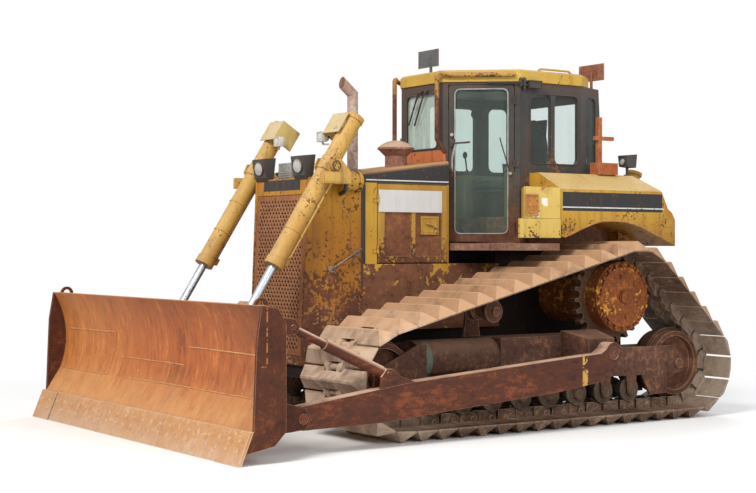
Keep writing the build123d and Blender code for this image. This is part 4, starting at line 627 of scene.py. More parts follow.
skin, edge = surface("blade"), surface("cutting_edge")
weld_bead = weathered("weld_bead", ((0.3, 0.09, 0.025), (0.5, 0.21, 0.065), (0.66, 0.4, 0.17)), scale=5.0,
                      dust=((0.66, 0.38, 0.16), 0.3), rough=(0.5, 0.7))
BEAD_RADIUS, BEAD_STEP, BEAD_PROUD = 0.0055, 0.045, 0.0005
BEAD_WANDER, BEAD_ROUGH = 0.0015, 0.0011
random.seed(5)
beads = []
for corners in [
        [(-1.82, 0.812), (-0.8, 0.824), (-0.86, 0.62), (-0.885, 0.462)], [(-1.9, 0.452), (-0.87, 0.452)],
        [(-0.655, 0.46), (-0.66, 0.618), (0.52, 0.622)], [(-0.545, 0.454), (0.493, 0.458), (1.9, 0.452)],
        [(0.287, 0.615), (0.25, 0.46)], [(-0.28, 0.53), (-0.285, 0.465)], [(0.585, 0.77), (1.87, 0.766)]]:
    route = []
    for (y0, z0), (y1, z1) in zip(corners, corners[1:]):
        count = max(2, int(hypot(y1 - y0, z1 - z0) / BEAD_STEP))
        for k in range(count):
            y, z = y0 + (y1 - y0) * k / count, z0 + (z1 - z0) * k / count
            route.append(on_face(skin, y, z + random.uniform(-1, 1) * BEAD_WANDER, BEAD_PROUD)[0])
    route.append(on_face(skin, *corners[-1], BEAD_PROUD)[0])
    beads.append(bar(route, BEAD_RADIUS))
beads = joined(beads)
for vertex in beads.data.vertices:
    vertex.co += Vector([random.uniform(-1, 1) * BEAD_ROUGH for _ in range(3)])
finished(beads, "blade_welds", "blade_assembly", weld_bead)

# Plough bolts, their flat heads let into the edge and worn almost flush.
head = pressed(disc(12, 0.016, 0.008), [Z], (0.006, Z * -0.003))
ROW_END, ROW_BOLTS, ROWS = 1.86, 24, (0.175, 0.105)
heads = repeated(head, [stood(*on_face(edge, -ROW_END + k * 2 * ROW_END / (ROW_BOLTS - 1), z))
                        for k in range(ROW_BOLTS) for z in ROWS])
finished(heads, "edge_bolts", "blade_assembly", edge_steel, 0.001)


# ---------------- push arms and tilt braces
# Box arms outside the tracks, from the trunnions to the blade's lower corners, and slant braces above them.
# Brown rusted plate, dusty on top, with a patch of old yellow left near each arm's rear end.
give(weathered("arm_rust", ((0.036, 0.012, 0.007), (0.08, 0.023, 0.012), (0.2, 0.054, 0.02)), scale=1.2,
               stretch=(0.6, 1, 1.4), worn=(0.3, 0.15, 0.085), dust=((0.58, 0.38, 0.27), 0.95), runs=0.15,
               rough=(0.5, 0.62), marks=(((0.52, 0.3, 0.07), dict(x=(-0.67, -0.61), y=(1.6, 1.8)), 0.5),)),
     "push_arm_left", "push_arm_right", "tilt_braces")


# ---------------- radiator guard and grille
# The guard is a thick plate box in front of the radiator, painted yellow and flaked to brown steel low down,
# with a blank black plate over its grille door, a perforated plate rusted orange.
YELLOW = ((0.54, 0.32, 0.042), (0.43, 0.22, 0.026))
RUST = ((0.055, 0.022, 0.014), (0.12, 0.046, 0.026), (0.24, 0.09, 0.038))
BLACK = (0.028, 0.029, 0.029)


def painted(name, coat, chips=CHIPS, **more):
    """Painted steel, rusted brown where the paint is lost."""
    return weathered(name, RUST, coat, chips, **more)


seal = (BLACK, dict(x=(0.785, 0.832), y=(0.49, 0.52), z=(1.2, 2.2)), 0)
give(painted("guard_paint", ((0.48, 0.225, 0.018), (0.37, 0.145, 0.012)), (0.8, 1.75, 0.68, 0.32, 30),
             runs=0.5, drift=(((0.28, 0.1, 0.01), "Z", 2.1, 1.3, 0.7),
                              ((0.36, 0.29, 0.23), "Z", 1.2, 0.6, 0.75)),
             marks=((BLACK, dict(x=(1.25, 1.5), y=(0, 0.31), z=(2.056, 2.15)), 0), seal)), "radiator_guard")
give(weathered("grille_rust", ((0.15, 0.053, 0.025), (0.3, 0.115, 0.048), (0.42, 0.19, 0.085)), scale=2.4,
               worn=(0.5, 0.3, 0.17), rough=(0.5, 0.75)), "grille_door")
give(weathered("core_dirt", ((0.01, 0.009, 0.008), (0.025, 0.02, 0.017), (0.05, 0.035, 0.025)), scale=3.0),
     "radiator")

# Grab rods on the guard's sides, each on two welded feet.
GUARD_SIDE = 0.5
ROD_FRONT, ROD_REAR, ROD_OUT = 1.139, 0.852, GUARD_SIDE + 0.045
rods = [bar([(ROD_FRONT, GUARD_SIDE, 1.36), (ROD_FRONT, ROD_OUT, 1.388), (ROD_REAR, ROD_OUT, 1.55),
             (ROD_REAR, GUARD_SIDE, 1.53)], 0.011, 0.02)]
for x, z in ((ROD_FRONT, 1.375), (0.885, 1.51)):
    rods.append(pressed(disc(20, 0.03, 0.014, (x, GUARD_SIDE + 0.006, z), Y), [Y, -Y], (0.009, 0.006)))
grab_steel = weathered("grab_steel", ((0.05, 0.03, 0.025), (0.14, 0.085, 0.065), (0.3, 0.2, 0.16)), scale=6.0,
                       worn=(0.5, 0.45, 0.42), rough=(0.5, 0.55))
finished_pair(joined(rods), "guard_rod", "tractor", grab_steel, 0.001)

# Lamps on the guard's top: pressed black shells with a rimmed lens, either side of a grey finned block.
lamp_black = painted("lamp_black", ((0.035, 0.036, 0.036), (0.07, 0.066, 0.06)), (2, 3, 0.22, 0.22, 30),
                     dust=((0.3, 0.2, 0.13), 0.3))
give(lamp_black, "front_lamps", "rear_lamps")
fin_grey = weathered("fin_grey", ((0.12, 0.12, 0.12), (0.24, 0.24, 0.235), (0.4, 0.39, 0.37)), scale=4.0)
give_faces(fin_grey, "front_lamps", lambda middle, way: abs(middle.y) < 0.12)
fin = pressed(box((0.014, 0.2, 0.008)), [X], (0, X * 0.006, (1, 0.96, 0.5)))
BLOCK_LEAN = radians(8.6)
FINS, FIN_X, FIN_Z, FIN_RISE, FIN_BACK = 7, 1.299, 2.176, 0.018, 0.02 * sin(BLOCK_LEAN)
fins = repeated(fin, [Matrix.Translation((FIN_X - k * FIN_BACK, 0, FIN_Z + k * FIN_RISE))
                      for k in range(FINS)])
finished(fins, "lamp_fins", "tractor", fin_grey, 0.001)
lens_glass = weathered("lens_glass", ((0.3, 0.3, 0.28), (0.46, 0.46, 0.43), (0.6, 0.6, 0.57)), scale=3.0,
                       runs=0.1, rough=(0.2, 0.24), relief=0.1, dust=((0.5, 0.4, 0.3), 0.2))


def lens(name, place, tip, wide, tall):
    """An oval lens in its rim; it looks along X, with its face turned down by tip."""
    rim = 0.0095
    made = pressed(scaled(disc(28, 0.5, 1), (tall, wide, 0.02)), [Z], (0.009, Z * -0.009), (0.012, Z * 0.004),
                   (0.014, Z * 0.003))
    made.rotation_euler = (0, radians(90) + tip, 0)
    made.location = place
    finished(made, name, "tractor", lamp_black, 0.0015)
    made.data.materials.append(lens_glass)
    middle, out = Vector(place), Vector((cos(tip), 0, -sin(tip)))
    for face in made.data.polygons:
        off = face.center - middle
        off -= out * off.dot(out)
        inside = hypot(off.z / cos(tip) / (tall / 2 - rim), off.y / (wide / 2 - rim)) < 1
        if inside and face.normal.dot(out) > 0.2:
            face.material_index = 1


for side, word in ((1, "left"), (-1, "right")):
    lens(f"front_lens_{word}", (1.3715, side * 0.333, 2.263), BLOCK_LEAN, 0.165, 0.135)
    lens(f"rear_lens_{word}", (-1.8985, side * 0.87, 2.385), radians(-7), 0.088, 0.088)


# ---------------- lift cylinders and yokes
# Each lift cylinder swings in a trunnion yoke on the guard; the barrel and its cover are painted yellow and
# chipped, and the rod is ground and chromed. A small work lamp stands on a stalk inside each cover.
cylinder_paint = painted("cylinder_paint", ((0.58, 0.37, 0.1), (0.46, 0.25, 0.055)), (0.5, 3, 0.27, 0.26, 44),
                         runs=0.4, run_scale=20.0, dust=((0.6, 0.45, 0.26), 0.4),
                         drift=(((0.3, 0.12, 0.035), "Z", 1.75, 1.4, 0.6),))
give(cylinder_paint, "lift_barrel_left", "lift_barrel_right", "lift_yokes")
give(painted("cover_paint", ((0.54, 0.42, 0.16), (0.5, 0.34, 0.1)), (0.5, 3, 0.28, 0.28, 18), runs=0.3,
             dust=((0.6, 0.5, 0.36), 0.75), drift=(((0.24, 0.1, 0.04), "X", 1.0, 0.9, 0.7),)),
     "lift_cover_left", "lift_cover_right")
chrome, tree, shader = material("rod_chrome")
rubbed = grain(tree, place_on(tree), 7.0, 4.0, 0.6)
tint = blended(tree, step(tree, rubbed, 0.2, 1.0), (0.5, 0.56, 0.63), (0.36, 0.37, 0.39))
feed(tree, shader.inputs, {"Base Color": tint, "Metallic": 0.9,
                           "Roughness": step(tree, rubbed, 0.0, 1.0, 0.22, 0.4)})
give(chrome, "lift_rod_left", "lift_rod_right")

# A steel oil pipe and two bands on each barrel, and a bolted cap with a ring on each trunnion's outer end.
PIVOT, DOWN, BACK = Vector((1.238, 0.61, 2.25)), Vector((0.5378, 0, -0.843)), Vector((-0.843, 0, -0.5378))
PIPE_ANGLE, PIPE_REACH = 0.62, 0.093


def by_barrel(along, angle, reach):
    """Point beside the left barrel: distance down from its trunnion, angle outwards from its rear, radius."""
    return PIVOT + DOWN * along + (BACK * cos(angle) + Y * sin(angle)) * reach


def round_pivot(radius, angle, y):
    """Point on a circle round the left trunnion's axis."""
    return Vector((PIVOT.x + radius * cos(angle), y, PIVOT.z + radius * sin(angle)))


pipe = [bar([by_barrel(s, PIPE_ANGLE, reach) for s, reach in (
    (0.1, 0.07), (0.1, PIPE_REACH), (0.86, PIPE_REACH), (0.9, 0.07))], 0.008, 0.02)]
for s in (0.36, 0.66):
    pipe.append(bar([by_barrel(s, radians(15 * k), 0.0775) for k in range(24)], 0.005, ring=True))
    clip = pressed(box((0.04, 0.032, 0.022)), [Z], (0.005, Z * 0.005))
    out = by_barrel(s, PIPE_ANGLE, 1) - by_barrel(s, PIPE_ANGLE, 0)
    clip.data.transform(stood(by_barrel(s, PIPE_ANGLE, PIPE_REACH), out, "X"))
    pipe.append(clip)
finished_pair(joined(pipe), "barrel_pipe", "lift_barrel_{}", cylinder_paint, 0.001)
cap = pressed(disc(28, 0.05, 0.014, round_pivot(0, 0, 0.733), Y), [Y], (0.012, Y * -0.005))
stud = pressed(disc(6, 0.009, 0.012, along=Y), [Y], (0.002, Y * 0.002))
studs = repeated(stud, [Matrix.Translation(round_pivot(0.026, 0.4 + k * pi / 2, 0.738)) for k in range(4)])
finished_pair(joined([cap, studs]), "trunnion_cap", "tractor", cylinder_paint, 0.0015)
ring = bar([round_pivot(0.039, k * pi / 12, 0.7435) for k in range(24)], 0.0045, ring=True)
finished_pair(ring, "cap_ring", "tractor", lamp_black)

# Behind each yoke a round sleeve lies along the guard's side, a hose bends round its front end, and a block
# on the yoke's outer plate stands in front of the barrel.
block = pressed(box((0.205, 0.042, 0.1), (1.288, 0.746, 2.146)), [Y], (0.012, Y * 0.005))
finished_pair(block, "yoke_block", "tractor", cylinder_paint, 0.008)
SLEEVE_Z = 2.13
sleeve = pressed(disc(44, 0.09, 0.21, (0.963, GUARD_SIDE, SLEEVE_Z), X), [X, -X], (0.014, -0.01))
collar = pressed(disc(44, 0.098, 0.03, (0.885, GUARD_SIDE, SLEEVE_Z), X), [X, -X], (0.006, 0))
sleeve_paint = painted("sleeve_paint", ((0.52, 0.31, 0.05), (0.4, 0.18, 0.025)), (1.8, 2.3, 0.36, 0.34, 38))
finished_pair(joined([sleeve, collar]), "yoke_sleeve", "tractor", sleeve_paint, 0.0015)
hose = bar([(1.055, 0.495, 2.235), (1.062, 0.6, 2.225), (1.066, 0.622, SLEEVE_Z), (1.06, 0.6, 2.035),
            (1.045, 0.495, 2.02)], 0.017, 0.07)
finished_pair(hose, "sleeve_hose", "tractor", lamp_black)

# The work lamp inside each cover: its shell narrows to the rear, and the lens is set back in its rim.
LAMP_Y, STALK_Z = 0.365, 2.45
shell = box((0.05, 0.088, 0.088), (1.15, LAMP_Y, 2.515))
pressed(shell, [-X], (0, X * -0.035, (1, 0.6, 0.6)))
pressed(shell, [X], (0.008, X * -0.006), (0.012, X * 0.003))
stalk = bar([(1.14, LAMP_Y, 2.48), (1.14, LAMP_Y, STALK_Z), (1.12, 0.425, STALK_Z)], 0.009, 0.02)
lamp_white = painted("lamp_white", ((0.66, 0.65, 0.6), (0.5, 0.48, 0.42)), (2, 3, 0.2, 0.2, 60))
finished_pair(joined([shell, stalk]), "cover_lamp", "lift_barrel_{}", lamp_white, 0.004)


# ---------------- hood, side panels and engine doors
# Sheet steel hood from the guard back to the cab, with a black band and a white line along each side. Below,
# each side has a perforated door hinged at its front edge, over a panel rusted brown.
WHITE = (0.62, 0.62, 0.6)
give(painted("hood_paint", YELLOW, (1.4, 2.35, 0.2, 0.3, 34), dust=((0.4, 0.22, 0.12), 0.75), marks=(
    (BLACK, dict(x=(-0.147, 0.79), y=(0.488, 0.51), z=(2.127, 2.4)), 0),
    (WHITE, dict(x=(-0.14, 0.78), y=(0.488, 0.51), z=(2.147, 2.157)), 0.2), seal)), "hood")
give(weathered("side_panel_paint", ((0.09, 0.036, 0.021), (0.17, 0.07, 0.037), (0.3, 0.13, 0.06)), YELLOW,
               (0.9, 1.42, 0.82, 0.57, 11), dust=((0.4, 0.24, 0.14), 0.5),
               drift=(((0.3, 0.12, 0.03), "Z", 1.4, 0.9, 0.6),)), "engine_side_panels")
door_paint = painted("door_paint", ((0.46, 0.27, 0.048), (0.35, 0.17, 0.028)), (1.4, 1.8, 0.66, 0.24, 32))
give(door_paint, "engine_door_left", "engine_door_right")
door_mesh = weathered("door_mesh", ((0.09, 0.035, 0.018), (0.17, 0.066, 0.031), (0.27, 0.11, 0.05)),
                      scale=1.8)
for name in ("engine_door_left", "engine_door_right"):
    give_faces(door_mesh, name, lambda middle, way: abs(abs(middle.y) - 0.492) < 0.001 and abs(way.y) > 0.9)

DOOR_FACE, HANDLE_OUT = 0.5, 0.516
plate = pressed(box((0.2, 0.006, 0.165), (0.095, DOOR_FACE, 1.76)), [Y], (0.02, Y * -0.0025))
handle = bar([(0.13, DOOR_FACE, 1.775), (0.13, HANDLE_OUT, 1.775), (0.06, HANDLE_OUT, 1.755),
              (0.06, DOOR_FACE, 1.755)], 0.007, 0.012)
finished_pair(joined([plate, handle]), "door_latch", "engine_door_{}", door_paint, 0.0015)

# A blank white plate, slightly bowed, held on the left door by its corners.
PLATE_X, PLATE_HALF = 0.305, 0.345
sign = scaled(primitive("grid", x_subdivisions=14, y_subdivisions=4, size=1,
                        location=(PLATE_X, 0.5055, 1.972), rotation=(radians(-90), 0, 0)),
              (2 * PLATE_HALF, 0.194, 1))
for vertex in sign.data.vertices:
    across = (vertex.co.x - PLATE_X) / PLATE_HALF
    vertex.co.y += 0.003 * (1 - across ** 2) + 0.0012 * sin(9 * across)
shaped(sign, "SOLIDIFY", thickness=0.0016)
outward()
plate_white = painted("plate_white", ((0.62, 0.6, 0.6), (0.55, 0.53, 0.52)), (1, 3, 0.06, 0.06, 30),
                      runs=0.12, edge=(0.001, 0.2), relief=0.15)
finished(sign, "door_plate", "engine_door_left", plate_white)

# The exhaust stack and the bowl of the air cleaner on the hood, bare and stained by heat and dust.
give(weathered("stack_rust", ((0.2, 0.11, 0.075), (0.38, 0.3, 0.25), (0.55, 0.49, 0.43)), scale=2.6,
               dust=((0.4, 0.33, 0.28), 0.3), worn=(0.3, 0.13, 0.07),
               drift=(((0.36, 0.17, 0.12), "Z", 2.75, 2.95, 0.65), ((0.3, 0.12, 0.06), "Z", 2.3, 2.2, 0.6))),
     "exhaust_stack")
give(weathered("cleaner_rust", ((0.12, 0.05, 0.035), (0.24, 0.115, 0.08), (0.4, 0.23, 0.16)), scale=2.4,
               dust=((0.52, 0.36, 0.26), 0.85)), "pre_cleaner")


# ---------------- fenders, boxes and tank
# Fenders over the rear of the tracks, a tool box in front of each, and the fuel tank between them. Yellow
# sheet steel, faded and spotted with rust, a black band with a white line along each fender.
give(painted("fender_paint", YELLOW, (1.6, 2.3, 0.44, 0.17, 38), runs=0.35, dust=((0.62, 0.46, 0.22), 0.7),
             drift=(((0.3, 0.13, 0.02), "Z", 1.92, 1.6, 0.7), ((0.3, 0.13, 0.025), "X", -1.7, -2.25, 0.65)),
             marks=((BLACK, dict(x=(-2.08, -0.85), y=(1.19, 1.23), z=(1.893, 2.062)), 0),
                    (WHITE, dict(x=(-2.1, -0.85), y=(1.19, 1.23), z=(1.92, 1.931)), 0.15))),
     "fender_left", "fender_right", "rear_tank")
PALE = (0.8, 0.78, 0.66)
give(painted("box_paint", ((0.64, 0.46, 0.13), (0.56, 0.36, 0.075)), (1.6, 2.2, 0.36, 0.18, 36), marks=(
    (PALE, dict(x=(-0.575, -0.5), y=(1.2, 1.23), z=(1.83, 1.9)), 0.3),
    (PALE, dict(x=(-0.67, -0.6), y=(1.2, 1.23), z=(1.93, 2.0)), 0.3))), "fender_boxes")
recess_rust = weathered("recess_rust", ((0.2, 0.06, 0.015), (0.42, 0.17, 0.035), (0.56, 0.28, 0.07)),
                        scale=4.0)
BOX_SIDE = 1.224
panel = pressed(box((0.15, 0.014, 0.19), (-0.478, BOX_SIDE, 1.936)), [Y], (0.01, Y * -0.008))
plug = pressed(disc(20, 0.017, 0.012, (-0.454, BOX_SIDE + 0.004, 1.887), Y), [Y], (0.005, Y * -0.008))
hasp = bar([(-0.6, BOX_SIDE, 2.075), (-0.6, BOX_SIDE + 0.01, 2.085), (-0.66, BOX_SIDE + 0.01, 2.115),
            (-0.7, 1.2, 2.13)], 0.008, 0.015)
finished_pair(joined([panel, plug, hasp]), "box_panel", "tractor", recess_rust, 0.0015)

# A rolled lip, bare and rusty, along the arch of each fender's side.
FENDER_SIDE, ARCH_ENDS, ARCH_HEIGHTS = 1.209, (-2.03, -0.87), (1.655, 1.812)
arch = sorted((v.co.x, v.co.z) for v in NODES["fender_left"].data.vertices if v.co.y > FENDER_SIDE
              and ARCH_ENDS[0] < v.co.x < ARCH_ENDS[1] and ARCH_HEIGHTS[0] < v.co.z < ARCH_HEIGHTS[1])
lip = bar([(x, FENDER_SIDE - 0.005, z) for x, z in arch], 0.009, 0.01)
finished_pair(lip, "fender_lip", "tractor", recess_rust)

# The rear post and the deck under the cab, bare steel.
give(weathered("post_rust", ((0.2, 0.05, 0.02), (0.38, 0.11, 0.035), (0.5, 0.2, 0.07)), scale=3.0),
     "rear_post")
give(weathered("deck_steel", ((0.11, 0.055, 0.036), (0.24, 0.12, 0.076), (0.36, 0.22, 0.15)), scale=1.5,
               edge=(0.006, 1.6)), "cab_floor")


# ---------------- cab
# A welded post cab, painted dark grey and rusting from its seams and sills, with rubber-set glass, a flat
# yellow roof and grab tubes at its front corners.
SLATE = ((0.034, 0.036, 0.035), (0.066, 0.063, 0.058))
cab_paint = painted("cab_paint", SLATE, (1.6, 2.7, 0.56, 0.2, 30), runs=0.4, run_scale=20.0,
                    drift=(((0.17, 0.06, 0.028), "Z", 2.1, 1.6, 0.8),
                           ((0.15, 0.06, 0.034), "Z", 2.92, 3.07, 0.3),
                           ((0.14, 0.065, 0.04), "|Y|", 0.42, 0.3, 0.25)),
                    marks=(((0.5, 0.15, 0.05), dict(x=(-0.2, -0.17), y=(0, 0.36), z=(2.345, 2.455)), 0.1),))
give(cab_paint, "cab_front_wall", "cab_side_wall_left", "cab_side_wall_right", "cab_rear_wall",
     "cab_door_left", "cab_door_right", "cab_header")
give(painted("tube_paint", ((0.46, 0.27, 0.06), (0.24, 0.11, 0.035)), (2.4, 3.16, 0.97, 0.4, 42)),
     "riser_tubes")
roof_paint = painted("roof_paint", ((0.56, 0.37, 0.07), (0.47, 0.27, 0.035)), (3, 3.3, 0.22, 0.22, 34))
give(roof_paint, "cab_roof")
give(weathered("plate_grey", ((0.06, 0.058, 0.056), (0.115, 0.115, 0.115), (0.16, 0.16, 0.158)), scale=2.0),
     "roof_plates")
plate_rust = weathered("plate_rust", ((0.16, 0.06, 0.036), (0.27, 0.11, 0.065), (0.4, 0.2, 0.13)), scale=2.5)
give_faces(plate_rust, "roof_plates", lambda middle, way: middle.x < -1)


def glazing(name, tint, haze_and_reflection, dust_and_reflection):
    """Thin tinted glass: clear face-on and mirror-like edge-on, hazed outside with dust and painted
    reflection.
    """
    made, tree, shader = material(name)
    cloud = placed(tree, "rain_runs", amount=0.5, scale=9.0)["Mask"]
    film = sums(tree, "MULTIPLY_ADD", grain(tree, place_on(tree), 2.5, 6.0, 0.65), 0.5, cloud)
    feed(tree, shader.inputs, {"Base Color": blended(tree, film, dust_and_reflection, tuple(0.6 * c for c in dust_and_reflection)),
                               "Roughness": step(tree, film, 0, 1, 0.04, 0.2)})
    clear = node(tree, "BsdfTransparent", {"Color": tint})
    gloss = node(tree, "Fresnel", {"IOR": 1.5}).outputs[0]
    hazed_and_reflecting = sums(tree, "ADD", gloss, step(tree, film, 0, 1, haze_and_reflection * 0.5, haze_and_reflection * 1.4), clamp=True)
    outside = sums(tree, "SUBTRACT", 1.0, node(tree, "NewGeometry").outputs["Backfacing"])
    surfaced(tree, times(tree, hazed_and_reflecting, outside), clear, shader)
    return made


# Each pane's haze is partly dust and partly painted reflection; the windshield's covers nearly all of it.
give(glazing("window_glass", (0.92, 0.95, 0.94), 0.06, (0.5, 0.56, 0.52)), "cab_glass")
give_faces(glazing("windshield_glass", (0.92, 0.95, 0.94), 0.95, (0.56, 0.68, 0.62)), "cab_glass",
           lambda middle, way: middle.x > -0.3)
give(glazing("door_glass", (0.82, 0.88, 0.86), 0.14, (0.36, 0.45, 0.41)), "cab_door_glass_left",
     "cab_door_glass_right")

# Pale rubber seals round the glass, a grab handle, a lever, a lock knob and a stay on each door.
DOOR_MIDDLE, ALONG, OUT = Vector((-0.442, 0.56, 0)), Vector((-0.749, 0.6626, 0)), Vector((0.6626, 0.749, 0))
rubber = weathered("seal_rubber", ((0.14, 0.14, 0.13), (0.3, 0.3, 0.28), (0.48, 0.48, 0.45)), scale=5.0,
                   runs=0.1, rough=(0.5, 0.7), dust=((0.4, 0.32, 0.25), 0.3))


def on_door(along, z, out=0.003):
    """Point on the left door: distance along it towards its hinge, height, and distance out of its face."""
    return DOOR_MIDDLE + ALONG * along + OUT * out + Vector((0, 0, z))


def door_bar(points, radius, turn, ring=False):
    """A bar along points of the left door."""
    return bar([on_door(*point) for point in points], radius, turn, ring)


def rectangle(start, end, low, high):
    """Corners of an upright rectangle in its own plane, in order round it."""
    return (start, low), (end, low), (end, high), (start, high)


GLASS_EDGE, LATCH_SIDE, HINGE_SIDE = 0.241, -0.262, 0.262
door_seal = door_bar(rectangle(-GLASS_EDGE, GLASS_EDGE, 1.69, 3.006), 0.0065, 0.055, ring=True)
finished_pair(door_seal, "door_seal", "cab_door_{}", rubber)
knob = pressed(disc(20, 0.016, 0.03), [Z, -Z], (0.006, 0.004))
knobs = repeated(knob, [stood(on_door(a, z, 0.012), OUT) for a, z in ((-0.268, 2.59), (HINGE_SIDE, 2.235))])
grab = door_bar([(-0.232, 2.5, 0), (-0.232, 2.5, 0.045), (LATCH_SIDE, 2.38, 0.05),
                 (LATCH_SIDE, 2.26, 0.045), (LATCH_SIDE, 2.26, 0)], 0.009, 0.03)
finished_pair(joined([knobs, grab]), "door_grab", "cab_door_{}", rubber, 0.0015)
lever = pressed(box((0.05, 0.075, 0.014)), [Z], (0.01, Z * 0.008))
lever.data.transform(stood(on_door(LATCH_SIDE, 2.515, 0.008), OUT))
pull = door_bar([(LATCH_SIDE, 2.51, 0.01), (-0.25, 2.512, 0.03), (-0.1, 2.522, 0.032)], 0.009, 0.02)
stay = door_bar([(0.17, 2.56, -0.002), (0.17, 2.55, 0.016), (HINGE_SIDE, 2.235, 0.016)], 0.006, 0.01)
finished_pair(joined([lever, pull, stay]), "door_lever", "cab_door_{}", lamp_black, 0.0015)

# Black seals of the fixed windows, and two wipers that hang over the windshield.
seals = [bar([(x, y, z) for x, z in rectangle(-0.826, -1.404, 2.333, 2.972)], 0.0055, 0.06, ring=True)
         for y in (0.793, -0.793)]
seals.append(bar([(-0.179, y, z) for y, z in rectangle(-0.242, 0.242, 2.473, 2.983)], 0.007, 0.06, ring=True))
finished(joined(seals), "window_seals", "tractor", lamp_black)
WIPER_TOP = 3.008
wipers = []
for pivot_y, y, z in ((0.09, -0.02, 2.85), (0.01, -0.11, 2.86)):
    wipers.append(pressed(disc(18, 0.02, 0.03, (-0.17, pivot_y, WIPER_TOP), X), [X], (0.006, X * 0.006)))
    wipers.append(bar([(-0.158, pivot_y, WIPER_TOP), (-0.152, (y + pivot_y) / 2 + 0.015, 2.94),
                       (-0.16, y, z)], 0.0055, 0.05))
    for x, thick in ((-0.163, 0.0045), (-0.17, 0.006)):
        wipers.append(bar([(x, y + 0.07, z + 0.145), (x + 0.003, y, z), (x, y - 0.08, z - 0.15)], thick, 0.1))
finished(joined(wipers), "wipers", "tractor", lamp_black)

# Work lamp, door check and bracket at the left hinge corner, under the roof's edge.
CHECK_Z = 3.062
block = box((0.148, 0.062, 0.07), (-0.845, 0.823, 3.048))
for way in (Y, X):
    pressed(block, [way], (0.008, way * -0.006))
cluster = [block]
for x, z, tall in ((-0.742, 3.05, 0.1), (-0.70, CHECK_Z, 0.07)):
    cluster.append(pressed(disc(18, 0.017, tall, (x, 0.809, z)), [Z, -Z], (0.006, 0.008)))
cluster.append(bar([(-0.72, 0.8, CHECK_Z), (-0.69, 0.83, CHECK_Z), on_door(0.3, CHECK_Z, 0.03),
                    on_door(0.06, CHECK_Z, 0.03), on_door(0.06, CHECK_Z, -0.005)], 0.009, 0.03))
cluster.append(bar([(-0.78, 0.82, 3.045), (-0.75, 0.83, 3.03), (-0.7, 0.815, 3.05)], 0.006, 0.02))
finished(joined(cluster), "corner_lamp", "tractor", lamp_black, 0.002)

# A grab rail on the roof, on two flanged feet.
RAIL_FRONT, RAIL_REAR, RAIL_Y = -0.97, -1.35, 0.74
rail = [bar([(RAIL_FRONT, RAIL_Y, 3.17), (RAIL_FRONT, RAIL_Y, 3.207), (RAIL_REAR, RAIL_Y, 3.207),
             (RAIL_REAR, RAIL_Y, 3.17)], 0.01, 0.03)]
for x in (RAIL_FRONT, RAIL_REAR):
    rail.append(pressed(disc(20, 0.024, 0.008, (x, RAIL_Y, 3.184)), [Z], (0.008, Z * 0.004)))
finished(joined(rail), "roof_rail", "tractor", roof_paint, 0.001)


# ---------------- operator's seat and controls
# A suspension seat with vinyl cushions between two arm consoles, a dash in front, and control levers.
give(painted("seat_shell", ((0.03, 0.03, 0.03), (0.05, 0.05, 0.05))), "seat")
give(painted("console_grey", ((0.26, 0.25, 0.13), (0.17, 0.16, 0.09)), (1, 3, 0.1, 0.1, 20)), "cab_consoles")
vinyl = weathered("seat_vinyl", ((0.018, 0.024, 0.026), (0.032, 0.045, 0.048), (0.055, 0.07, 0.072)),
                  scale=5.0, runs=0.0, rough=(0.5, 0.5), relief=0.25, edge=(0.001, 0.1),
                  dust=((0.3, 0.25, 0.2), 0.25))
SWELL_FRAMES, MOST_SWELL = 20, 0.012


def dent(distance, width):
    """Share of a soft line's depth at a distance from it: 1 on the line, and nothing well past its width."""
    return 2.718 ** -(distance / width) ** 2


def stuffed(long, wide, thick, head, seams):
    """A foam pad in vinyl lying flat: its skin blown up as cloth over a firm underside, then the seams
    pressed in across it and round its rim. head is how much its far end is narrowed."""
    pad = box((long - 0.014, wide - 0.014, thick - 0.012), (0, 0, thick / 2))
    shaped(pad, "BEVEL", width=min(0.035, thick * 0.3), segments=5)
    shaped(pad, "REMESH", mode="VOXEL", voxel_size=0.009)
    for vertex in pad.data.vertices:
        reach = max(0.0, vertex.co.x / long - 0.1) / 0.4
        vertex.co.y *= 1 - head * reach ** 2
    firm = pad.vertex_groups.new(name="firm")
    firm.add([v.index for v in pad.data.vertices if v.co.z < 0.02], 1.0, "REPLACE")
    start = [v.co.copy() for v in pad.data.vertices]
    cloth = pad.modifiers.new("cloth", "CLOTH")
    cloth.settings.use_pressure = True
    cloth.settings.uniform_pressure_force = 4
    cloth.settings.vertex_group_mass = "firm"
    cloth.settings.effector_weights.gravity = 0
    for moment in range(SWELL_FRAMES):
        bpy.context.scene.frame_set(moment + 1)
    bpy.ops.object.modifier_apply(modifier="cloth")
    bpy.context.scene.frame_set(1)
    for vertex, place in zip(pad.data.vertices, start):
        moved = vertex.co - place
        if moved.length > MOST_SWELL:
            vertex.co = place + moved.normalized() * MOST_SWELL
    shaped(pad, "SUBSURF", levels=1, render_levels=1)
    for vertex in pad.data.vertices:
        x, y, z = vertex.co
        top = max(0.0, min(1.0, z / thick * 2 - 0.7))
        sunk = sum(dent(x - seam, 0.006) for seam in seams) + 0.8 * dent(abs(y) - wide * 0.3, 0.006)
        vertex.co.z -= 0.009 * top * min(1.0, sunk)
        rim = 0.01 * dent(z - thick * 0.72, 0.004)
        vertex.co.x *= 1 - rim
        vertex.co.y *= 1 - rim
    return pad


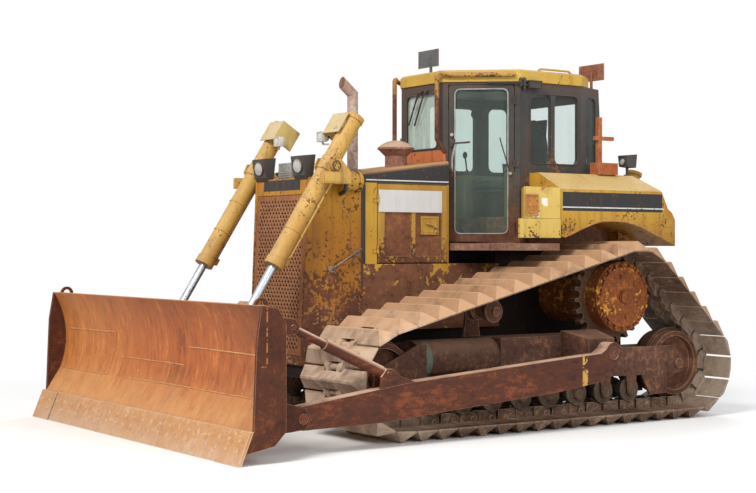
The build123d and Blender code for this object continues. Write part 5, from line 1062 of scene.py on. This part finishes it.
PAD_WIDE = 0.49
base = stuffed(0.386, PAD_WIDE, 0.112, 0.0, (-0.07, 0.06))
base.location = (-1.131, 0, 2.119)
back = stuffed(0.66, PAD_WIDE, 0.094, 0.5, (-0.16, 0.0, 0.16))
back.data.transform(Matrix.Rotation(radians(-84.4), 4, "Y"))
back.location = (-1.459, 0, 2.482)
for pad in (base, back):
    pad.vertex_groups.clear()
pads = joined([base, back])
finished(pads, "seat_pads", "tractor", vinyl)
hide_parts("seat_cushions")


def ordered(piece):
    """Puts a mesh's faces in the order of their points. A sphere's come in a new order every run."""
    mesh = piece.data
    places = [v.co.copy() for v in mesh.vertices]
    faces = []
    for face in mesh.polygons:
        corners = list(face.vertices)
        first = corners.index(min(corners))
        faces.append(corners[first:] + corners[:first])
    mesh.clear_geometry()
    mesh.from_pydata(places, [], sorted(faces))
    return piece


# Control levers with round knobs on the consoles, and a pair of round vents on the right window's post.
CONSOLE_TOP = 2.27
for name, (x, y), lean, tall, knob_size in [("steering_lever", (-1.02, 0.4), (0.03, 0), 0.19, 0.024),
                                            ("gear_lever", (-1.12, 0.37), (0.02, -0.02), 0.15, 0.02),
                                            ("blade_lever", (-1.02, -0.4), (0.04, 0.02), 0.2, 0.026),
                                            ("throttle_lever", (-1.14, -0.43), (-0.02, 0), 0.14, 0.018)]:
    tip = (x + lean[0], y + lean[1], CONSOLE_TOP + tall)
    stick = bar([(x, y, CONSOLE_TOP), (x + 0.004, y, CONSOLE_TOP + 0.07), tip], 0.008, 0.05)
    ball = ordered(primitive("uv_sphere", segments=18, ring_count=10, radius=knob_size, location=tip))
    ball.scale = (0.9, 0.9, 1.35)
    ordered(pressed(ball, [Z], (0.002, -0.002)))
    boot = primitive("cone", vertices=20, radius1=0.04, radius2=0.011, depth=0.06,
                     location=(x, y, CONSOLE_TOP + 0.03))
    finished(joined([stick, ball, boot]), name, "tractor", lamp_black)
vents = [pressed(disc(24, 0.045, 0.03, (x, -0.735, 2.915), Y), [Y], (0.008, Y * -0.005), (0.01, Y * 0.004),
                 (0.01, Y * -0.004)) for x in (-1.385, -1.49)]
finished(joined(vents), "cab_vents", "tractor", lamp_black, 0.001)
